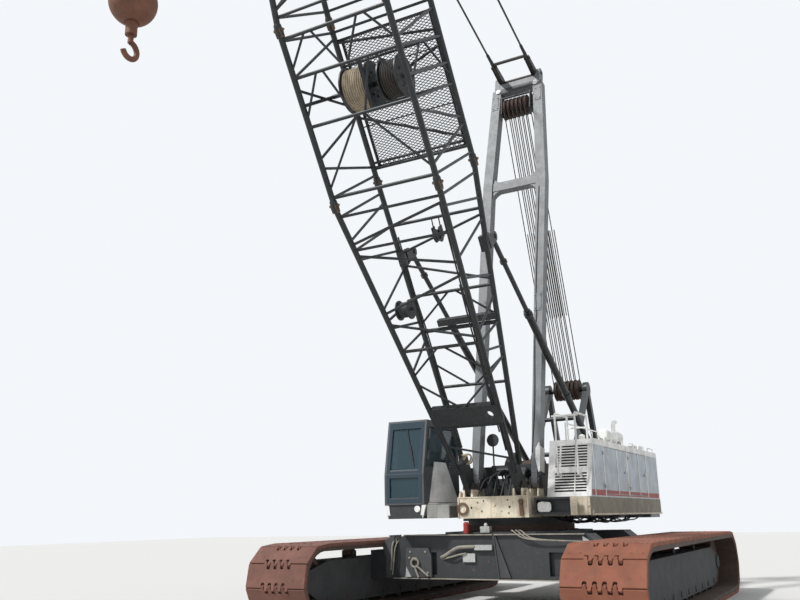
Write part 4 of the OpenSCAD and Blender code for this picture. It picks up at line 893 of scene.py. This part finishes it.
# Ends of each section: place up the boom, half width and half depth between its chords
BASE = ((0.43, 0.56, 0.14), (BASE_LEN - 0.06, CHORD_Y, CHORD_N))
INSERT = ((BASE_LEN + 0.06, CHORD_Y, CHORD_N), (INSERT_TOP - 0.06, CHORD_Y, CHORD_N))
TIP = ((INSERT_TOP + 0.06, CHORD_Y, CHORD_N), (BOOM_LEN - 0.5, 0.33, 0.26))
# Corners in turn: front right, front left, rear left, rear right. Face f lies between corners f and f + 1
CORNERS = ((-1, -1), (1, -1), (1, 1), (-1, 1))


def chord_at(section, corner, u):
    """A point on the centre line of a section's chord."""
    (u0, y0, n0), (u1, y1, n1) = section
    t = (u - u0) / (u1 - u0)
    y, n = CORNERS[corner % 4]
    return Vector((u, y * (y0 + (y1 - y0) * t), n * (n0 + (n1 - n0) * t)))


def on_face(section, face, t, u):
    """A place on a face, t being 0 and 1 on its two chords."""
    return chord_at(section, face, u).lerp(chord_at(section, face + 1, u), t)


def boom_section(name, section, rungs, braces):
    """A section's four chords, and its rungs and braces in tables by radius.

    A rung is its face and place; a brace is its face, and t and place of each end.
    """
    piece = Piece(name, boom_black, boom_place)
    for corner in range(4):
        piece.bar([chord_at(section, corner, end[0]) for end in section], CHORD_R, 20)
    for radius, places in rungs.items():
        for face, u in places:
            piece.bar([on_face(section, face, 0, u), on_face(section, face, 1, u)], radius, 12)
    for radius, places in braces.items():
        for face, t0, u0, t1, u1 in places:
            piece.bar([on_face(section, face, t0, u0), on_face(section, face, t1, u1)], radius, 10)
    return piece


def in_pairs(*braces):
    """Braces, each with its mirror image across the middle of its face."""
    return [
        (face, abs(way - t0), u0, abs(way - t1), u1) for face, t0, u0, t1, u1 in braces for way in (0, 1)
    ]


def connectors(piece, u, way):
    """Thicker ends of the four chords at a joint between sections."""
    for y, n in CORNERS:
        corner = Vector((u, y * CHORD_Y, n * CHORD_N))
        route = [corner + Vector((way * along, 0, 0)) for along in (0, 0.075, 0.10)]
        piece.bar(route, [0.064, 0.064, CHORD_R], 20)


# Base section: diagonals run between its stations, braces fan out from the middle of three rungs
STATIONS = (5.74, 5.12, 4.48, 3.77, 3.11, 2.48)
zigzag = []
for face, first, last, gap in ((0, 0, 3, 0.105), (1, 0, 4, 0.175), (2, 1, 2, 0.105), (3, 0, 4, 0.175)):
    for i in range(first, last + 1):
        start = (i + face + 1) % 2
        zigzag.append((face, start, STATIONS[i] - gap, 1 - start, STATIONS[i + 1] + gap))
base = boom_section("boom_base_lattice", BASE, {
    LACE_R: (
        (0, 5.74), (0, 5.12), (1, 5.74), (1, 3.11), (1, 2.48), (2, 3.11), (3, 5.74), (3, 5.12), (3, 3.11)
    ),
    RUNG_R: ((0, 3.11), (2, 5.12), (2, 3.77), (2, 2.00)),
}, {
    LACE_R: zigzag,
    BRACE_R: [(0, 0.46, 3.11, 0, 2.59), (0, 0.54, 3.11, 1, 2.56), (0, 0, 1.06, 1, 0.72)] + in_pairs(
        (0, 0, 2.43, 0.46, 1.88), (2, 0.46, 3.77, 0, 3.23), (2, 0, 2.48, 0.46, 2.00)
    ),
})
connectors(base, BASE_LEN, -1)
# Box beam across the front chords, with a round hole near its left end, and the feet and
# the backstops' forks: place up the boom and height of a fork's pin, and how far it stands out
STOP_EYE, STOP_Y = (4.5, 1.08), 0.82
HOLE = Vector((1.69, 0.475, 0))
HOLE_R, HOLE_HALF = 0.075, 0.20
BEAM_N = (-0.36, -0.23)
square, circle = [], []
for a, b in around(32, shift=0.5):
    circle.append(HOLE + Vector((a, b, 0)) * HOLE_R)
    square.append(HOLE + Vector((a, b, 0)) * HOLE_HALF / max(abs(a), abs(b)))
base.skin([
    [point + Vector((0, 0, n)) for point in ring]
    for ring, n in ((circle, BEAM_N[0]), (square, BEAM_N[0]), (square, BEAM_N[1]), (circle, BEAM_N[1]))
], closed=True)
base.block((1.49, -0.64, BEAM_N[0]), (1.89, HOLE.y - HOLE_HALF + 0.001, BEAM_N[1]))
for u in (1.49, 1.87):
    base.block((u, -0.64, BEAM_N[0] - 0.012), (u + 0.02, 0.64, BEAM_N[1] + 0.012))
for side in (-1, 1):
    foot = arc(0.125, 90, 270, 12)
    base.plate(foot + [(0.20, -0.15), (0.64, -0.17), (0.64, 0.17), (0.20, 0.15)], side * 0.50, 0.11)
    base.block((4.36, side * STOP_Y - 0.075, 0.62), (4.64, side * STOP_Y + 0.075, 0.75))
    for y in (side * STOP_Y - 0.063, side * STOP_Y + 0.063):
        eye = arc(0.09, 0, 180, 15, STOP_EYE)
        base.plate(eye + [(4.37, 0.70), (4.63, 0.70)], y, 0.024)
        base.pin(*STOP_EYE, y - 0.03, y + 0.03, 0.04)
base.done("boom", replaced=("boom_base",))

# The insert section is the short straight one: braces fan out from its front rungs, and
# two tubes through its sides carry the spools' shaft.
insert = boom_section("boom_insert_lattice", INSERT, {
    RUNG_R: ((0, 6.08), (0, 7.27), (0, 8.06), (0, 8.68), (1, 8.06), (2, 6.20)),
    LACE_R: (
        (1, 6.08), (1, 7.27), (2, 6.30), (2, 7.27), (2, 8.06), (2, 8.66), (3, 6.08), (3, 8.66)
    ),
}, {
    BRACE_R: in_pairs(
        (0, 0.47, 7.27, 0, 6.20), (0, 0.22, 8.06, 0, 7.38), (0, 0.28, 8.06, 0.45, 7.27),
        (0, 0.22, 8.68, 0, 8.17), (0, 0.28, 8.68, 0.47, 8.06), (1, 0.46, 8.06, 0, 7.40)
    ),
    LACE_R: (
        (1, 0, 7.10, 1, 6.69), (1, 1, 6.59, 0, 6.23), (1, 0, 8.19, 1, 8.53),
        (2, 0, 6.35, 1, 7.15), (2, 1, 7.39, 0, 7.94), (2, 0, 8.18, 1, 8.48),
        (3, 0, 6.23, 1, 6.59), (3, 1, 6.73, 0, 7.20), (3, 0, 7.33, 1, 7.88), (3, 1, 8.07, 0, 8.56)
    ),
})
connectors(insert, BASE_LEN, 1)
connectors(insert, INSERT_TOP, -1)
SPOOL_U, SPOOL_N = 7.62, 0.20
for side in (-1, 1):
    insert.bar([(SPOOL_U, side * CHORD_Y, -CHORD_N), (SPOOL_U, side * CHORD_Y, CHORD_N)], 0.030, 14)
insert.pin(SPOOL_U, SPOOL_N, -CHORD_Y, CHORD_Y, 0.038)
insert.block((7.26, -0.10, -0.26), (8.06, -0.03, -0.235))
insert.done("boom", replaced=("boom_insert",))

# The tip section is welded like the others, in seven bays that narrow to the two plates
# round the head sheaves, with the sheaves' pins and the bar for the pendants.
TIP_BAYS = 7
bay = (TIP[1][0] - TIP[0][0] - 0.26) / TIP_BAYS
tip_rungs = [(face, TIP[0][0] + 0.13 + i * bay) for face in range(4) for i in range(TIP_BAYS + 1)]
tip_braces = []
for face in range(4):
    for i in range(TIP_BAYS):
        start = (i + face) % 2
        low = TIP[0][0] + 0.13 + i * bay
        tip_braces.append((face, start, low + 0.10, 1 - start, low + bay - 0.10))
tip = boom_section("boom_tip_lattice", TIP, {LACE_R: tip_rungs}, {LACE_R: tip_braces})
connectors(tip, INSERT_TOP, 1)
for y in (-0.33, 0.33):
    nose = arc(0.13, -60, 60, 12, (BOOM_LEN, 0))
    back = [(-0.25, 0.42), (-0.90, 0.33), (-0.90, -0.30), (-0.30, -0.34)]
    tip.plate(nose + [(BOOM_LEN + u, n) for u, n in back], y, 0.05)
tip.pin(BOOM_LEN, 0, -0.375, 0.375, 0.05, 20)
tip.pin(BOOM_LEN - 0.7, 0, -0.33, 0.33, 0.06, 20)
tip.pin(BOOM_LEN - 0.35, 0.30, -0.475, 0.475, 0.038)
tip.done("boom", replaced=("boom_tip",))

# The sections are pinned together at their corners by small forks of rusty steel, each
# with two lugs round one, a pin and its keeper.
forks = Piece("boom_joint_forks", joint_rust, boom_place)
for u in (BASE_LEN, INSERT_TOP):
    for y, n in CORNERS:
        y, n = y * CHORD_Y, n * CHORD_N
        for offset, way in ((-0.044, 1), (0, -1), (0.044, 1)):
            lug = [(u + way * a, n + b) for a, b in arc(0.052, -90, 90, 15)]
            forks.plate(lug + [(u - way * 0.12, n + 0.040), (u - way * 0.12, n - 0.040)], y + offset, 0.022)
        forks.pin(u, n, y - 0.088, y + 0.088, 0.024, 14)
        forks.bar([(u, y + 0.080, n - 0.050), (u, y + 0.080, n + 0.050)], 0.007, 6)
forks.done("boom")

# A catwalk of black expanded metal lies across the insert's rear chords. Its strands
# cross in two layers inside a welded frame with four bars.
GRATE_U0, GRATE_U1, GRATE_HALF, GRATE_N = 6.20, 8.50, 0.86, 0.935
GRATE_STEP, GRATE_SLOPE, STRAND = 0.052, 0.52, 0.013
grate_black = weathered(
    "expanded metal", (0.022, 0.026, 0.030), (0.08, 0.05, 0.04), 0.6, rust=0.2, streaks=0.2, patches=5,
    bump=0.2
)
grate = Piece("catwalk_grating", grate_black, boom_place)
spread = GRATE_HALF * GRATE_SLOPE
for way in (-1, 1):
    for k in range(int((GRATE_U1 - GRATE_U0 + 2 * spread) / GRATE_STEP)):
        middle = GRATE_U0 - spread + k * GRATE_STEP
        low_y = max(-GRATE_HALF, (GRATE_U0 - middle) / GRATE_SLOPE)
        high_y = min(GRATE_HALF, (GRATE_U1 - middle) / GRATE_SLOPE)
        if high_y - low_y > 0.04:
            low = GRATE_N + 0.002 * way
            corners = ((0, low), (STRAND, low), (STRAND, low + 0.006), (0, low + 0.006))
            grate.skin([
                [(middle + y * GRATE_SLOPE + across, way * y, n) for across, n in corners]
                for y in (low_y, high_y)
            ])
for u, width in ((GRATE_U0 - 0.015, 0.05), (6.95, 0.02), (7.9, 0.02), (GRATE_U1 - 0.02, 0.05)):
    grate.block((u, -0.93, GRATE_N - 0.04), (u + width, 0.93, GRATE_N - 0.003))
for y in (-GRATE_HALF - 0.02, GRATE_HALF - 0.015):
    grate.block((GRATE_U0 - 0.015, y, GRATE_N - 0.03), (GRATE_U1 + 0.02, y + 0.035, GRATE_N + 0.016))
grate.done("boom", replaced=("boom_catwalk",), smooth=False)

# Two spools of rope stand side by side inside the insert, one wound with pale rope and
# one with dark. Each has two black steel flanges with bolts.
tan_rope = weathered(
    "pale wound rope", (0.40, 0.33, 0.23), (0.10, 0.075, 0.05), 0.7, streaks=0.2, patches=8, bump=0.5,
    grain=180
)
dark_rope = weathered(
    "dark wound rope", (0.040, 0.033, 0.027), (0.02, 0.017, 0.014), 0.7, streaks=0.2, patches=8, bump=0.5,
    grain=180
)
flanges = Piece("spool_flanges", boom_black, boom_place)
# Place across, half width, flange radius, rope's finish
for index, (y, half, flange_r, finish) in enumerate(
    ((-0.36, 0.215, 0.40, tan_rope), (0.27, 0.15, 0.36, dark_rope))
):
    rope = Piece("spool_rope_%d" % index, finish, boom_place)
    rope_r = flange_r - 0.045
    turns = round(2 * half / 0.042)
    step = 2 * half / turns
    profile = [(rope_r - 0.06, -half), (rope_r - 0.06, half)]
    for k in reversed(range(turns)):
        at = -half + step * (k + 0.5)
        profile += [(rope_r - 0.021, at + step * 0.49), (rope_r - 0.006, at + step * 0.34), (rope_r, at)]
        profile += [(rope_r - 0.006, at - step * 0.34), (rope_r - 0.021, at - step * 0.49)]
    rope.turned((SPOOL_U, y, SPOOL_N), (0, 1, 0), profile, 44)
    rope.done("boom")
    for edge in (-half - 0.012, half + 0.012):
        disc = [(0.04, -0.012), (0.04, 0.012), (flange_r, 0.012), (flange_r, -0.012)]
        flanges.turned((SPOOL_U, y + edge, SPOOL_N), (0, 1, 0), disc, 44)
        for u, n in around(8, 0.2, (SPOOL_U, SPOOL_N)):
            flanges.bolt((u, y + edge + math.copysign(0.011, edge), n), (0, edge, 0), 0.02, 0.018)
flanges.done("boom", replaced=("boom_spools",))

# Inside the base section hang a sheave block on two straps, a flanged rope roller on a
# post, and a short cross beam with its tube, all black steel.
gear = Piece("boom_base_gear", carbody_paint, boom_place)
rear_mid = on_face(BASE, 2, 0.5, 5.12)
for y in (-0.07, 0.07):
    gear.bar([rear_mid + Vector((0, y, 0)), rear_mid + Vector((-0.34, y, -0.06))], 0.012, 8)
    gear.plate([(4.74, 0.62), (4.96, 0.62), (4.96, 0.78), (4.74, 0.78)], y, 0.012)
gear.turned(
    (4.80, 0, 0.68), (0, 1, 0), [(0.02, -0.05), (0.13, -0.05), (0.10, 0), (0.13, 0.05), (0.02, 0.05)], 28
)
gear.pin(4.80, 0.68, -0.10, 0.10, 0.022, 12)
ROLLER = Vector((3.74, -0.68, -0.06))
drum = [
    (0.03, -0.12), (0.18, -0.12), (0.18, -0.10), (0.14, -0.10), (0.14, 0.10), (0.18, 0.10), (0.18, 0.12),
    (0.03, 0.12)
]
gear.turned(ROLLER, (0, 1, 0), drum, 32)
roller_post = chord_at(BASE, 0, ROLLER.x).lerp(chord_at(BASE, 3, ROLLER.x), 0.4)
gear.bar([ROLLER + Vector((0, 0.18, 0)), (ROLLER.x, roller_post.y, ROLLER.z)], 0.03, 14)
gear.bar([chord_at(BASE, 0, ROLLER.x), chord_at(BASE, 3, ROLLER.x)], 0.026, 12)
beam_u = 3.22
beam_end = chord_at(BASE, 2, beam_u)
gear.block((beam_u - 0.06, -0.40, beam_end.z - 0.06), (beam_u + 0.06, beam_end.y, beam_end.z + 0.06))
gear.pin(beam_u - 0.14, beam_end.z, -beam_end.y, beam_end.y, 0.03, 14)
gear.done("boom")

# Rubber hoses are strapped along the base's chords in shallow waves, and a coil of pale
# rope hangs on a peg above the foot.
lines = Piece("boom_hoses", hose_black, boom_place)
for corner, inward, first, last in ((1, -0.07, 0.9, 5.6), (1, -0.10, 1.3, 4.2), (3, 0.07, 0.8, 4.9)):
    knots = []
    for k in range(8):
        u = first + (last - first) * k / 7
        knots.append(chord_at(BASE, corner, u) + Vector((0, inward, 0.014 * math.sin(2.1 * k))))
    lines.hose(knots, 0.015, 8, 4)
lines.done("boom")
coil = Piece("hanging_rope_coil", tan_rope, boom_place)
COIL = Vector((0.64, -0.385, 0.036))
for k in range(4):
    size = 0.105 + 0.008 * (k % 2)
    turn = [2 * math.pi * i / 28 for i in range(28)]
    coil.bar([
        COIL + Vector(
            (size * math.cos(a), 0.85 * size * math.sin(a + 0.3 * k), -0.004 - 0.010 * k)
        ) for a in turn
    ], 0.009, 6, closed=True)
coil.bar([COIL + Vector((0.09, -0.09, -0.02)), COIL + Vector((0.09, 0.02, -0.02))], 0.014, 8)
coil.done("boom")

# The live mast is two box legs of welded plate with a cross beam, in grey paint with long
# runs of dirt, as on the counterweight. Bolted plates, a bracket, lamps and a hose are
# fixed on its legs, and a dark band and two plates at its head.
mast_paint = weathered("mast grey", (0.165, 0.175, 0.182), (0.09, 0.086, 0.08), 0.5, rust=0.18, streaks=0.55)
dress(mast_paint, "mast", "counterweight")
MAST_ANGLE = math.radians(102.3)
mast_place = Matrix.Translation((0.60, 0, 2.25)) @ Matrix.Rotation(-MAST_ANGLE, 4, "Y")
MAST_LEN = 9.93
CROSS_BEAM_U = 6.85
fillets = Piece("mast_fillets", mast_paint, mast_place)
for side in (-1, 1):
    for way in (-1, 1):
        hollow = [(CROSS_BEAM_U + way * 0.108, side * 0.545)]
        for a, b in arc(1.0, 0, 90, 9):
            hollow.append((CROSS_BEAM_U + way * (0.37 - 0.262 * a), side * (0.285 + 0.26 * b)))
        fillets.skin([[(u, y, n) for u, y in hollow] for n in (-0.075, 0.075)])
fillets.done("live_mast")
mast_plates = Piece("mast_plates", mast_paint, mast_place)
for side in (-1, 1):
    for u0, u1, leg_y in ((3.55, 3.95, 0.622), (9.05, 9.45, 0.538)):
        for n in (-0.121, 0.121):
            low, high = sorted((n, n * 1.08))
            mast_plates.block((u0, side * leg_y - 0.075, low), (u1, side * leg_y + 0.075, high))
            for u in (u0 + 0.05, u1 - 0.05):
                for y in (-0.05, 0.05):
                    mast_plates.bolt((u, side * leg_y + y, n * 1.07), (0, 0, n), 0.014, 0.014)
mast_plates.done("live_mast")
mast_bracket = Piece("mast_foot_bracket", house_white, mast_place)
mast_bracket.skin([
    [
        (0.16, 0.705, n), (0.42, 0.64, n), (0.62, 0.64, n), (0.74, 0.705, n), (0.60, 0.735, n),
        (0.20, 0.735, n)
    ]
    for n in (-0.165, -0.119)
])
mast_bracket.block((0.20, 0.709, -0.13), (0.66, 0.735, 0.08))
for side in (-1, 1):
    lens = [(0.004, 0), (0.055, 0), (0.062, 0.02), (0.004, 0.035)]
    mast_bracket.turned((9.58, side * 0.47, -0.125), (0, 0, -1), lens, 20)
mast_bracket.done("live_mast")
mast_gear = Piece("mast_head_gear", carbody_paint, mast_place)
mast_gear.block((9.52, -0.40, -0.119), (9.66, 0.40, -0.108))
for y in (-0.36, 0.36):
    mast_gear.plate([(8.86, -0.16), (9.34, -0.20), (9.34, 0.20), (8.86, 0.16)], y, 0.022)
for n in (0.17, -0.17):
    mast_gear.pin(9.30, n, -0.40, 0.40, 0.022, 10)
mast_gear.hose([
    (0.55, 0.56, -0.125), (1.6, 0.59, -0.127), (3.0, 0.57, -0.125), (3.45, 0.60, -0.128),
    (4.2, 0.58, -0.126),
    (6.6, 0.61, -0.125)
], 0.012)
mast_gear.done("live_mast")

# The stays and ropes are greased steel wire. The overhaul ball and its hook are cast
# steel, rusted all over.
wire_rope = weathered(
    "greased wire rope", (0.055, 0.050, 0.045), (0.12, 0.08, 0.05), 0.55, streaks=0.2, metal=0.4, bump=0.6,
    grain=160
)
dress(wire_rope, "pendants", "hoist_ropes_upper", "hoist_ropes_lower", "hook_rope")
hook_rust = weathered(
    "hook rust", (0.17, 0.065, 0.035), (0.05, 0.028, 0.02), 0.6, streaks=0.4, patches=6, bump=0.35
)
dress(hook_rust, "hook_ball", "hook")

# Thick dark links join the pendants to the mast's head: two plates on each side with two
# pins and the socket that holds the rope's end.
LINK_Y = 0.42
PENDANT_HEAD = mast_place @ Vector((MAST_LEN, 0, 0))
pendant_way = (boom_place @ Vector((BOOM_LEN - 0.35, 0, 0.30)) - PENDANT_HEAD).normalized()
pendant_over = pendant_way.cross(Vector((0, 1, 0)))
link_place = frame_at(PENDANT_HEAD, pendant_way, (0, 1, 0), -pendant_over)
links = Piece("pendant_links", hose_black, link_place)
link_shape = [(0.02, -0.075), (0.10, -0.085), (0.60, -0.05), (0.60, 0.05), (0.10, 0.085), (0.02, 0.075)]
for y in (-LINK_Y, LINK_Y):
    for across in (-0.045, 0.045):
        links.plate(link_shape, y + across, 0.022)
    for along, radius in ((0.05, 0.032), (0.55, 0.028)):
        links.pin(along, 0, y - 0.075, y + 0.075, radius, 14)
    links.bar([(0.60, y, 0), (0.95, y, 0), (1.0, y, 0)], [0.040, 0.036, 0.024], 14)
links.done("boom_pendants")

# Each backstop's tube carries three steel collars, and its rod shows above it. The ball is
# two halves held at a raised seam, with bolts in a ring on top, and hangs from the front
# of the tip's sheave, TIP_ROPE_R ahead of its pin.
STOP_FOOT = Vector((-3.5, 0, 2.4))
ROD_SHOWS = 1.9
eye = boom_place @ Vector((STOP_EYE[0], 0, STOP_EYE[1]))
stop_way = (eye - STOP_FOOT).normalized()
stop_end = (eye - STOP_FOOT).length - ROD_SHOWS
collars = Piece("backstop_collars", carbody_paint)
for side in (-1, 1):
    for along in (stop_end - 0.10, stop_end * 0.55, 0.35):
        centre = STOP_FOOT + stop_way * along + Vector((0, side * STOP_Y, 0))
        collars.turned(
            centre, stop_way, [(0.0725, -0.04), (0.088, -0.04), (0.088, 0.04), (0.0725, 0.04)], 24
        )
collars.done("stop_tubes")
BALL_Z, TIP_ROPE_R = 7.02, 0.2863
BALL = Vector(((boom_place @ Vector((BOOM_LEN, 0, 0))).x + TIP_ROPE_R, 0, BALL_Z))
seam = Piece("ball_seam", wheel_rust)
seam.turned(BALL, (0, 0, 1), [(0.240, -0.014), (0.2548, -0.014), (0.2548, 0.014), (0.240, 0.014)], 64)
for x, y in around(8, 0.180, shift=0.5):
    seam.bolt(BALL + Vector((x, y, 0.170)), (0, 0, 1), 0.016, 0.016)
seam.done("hook_block")
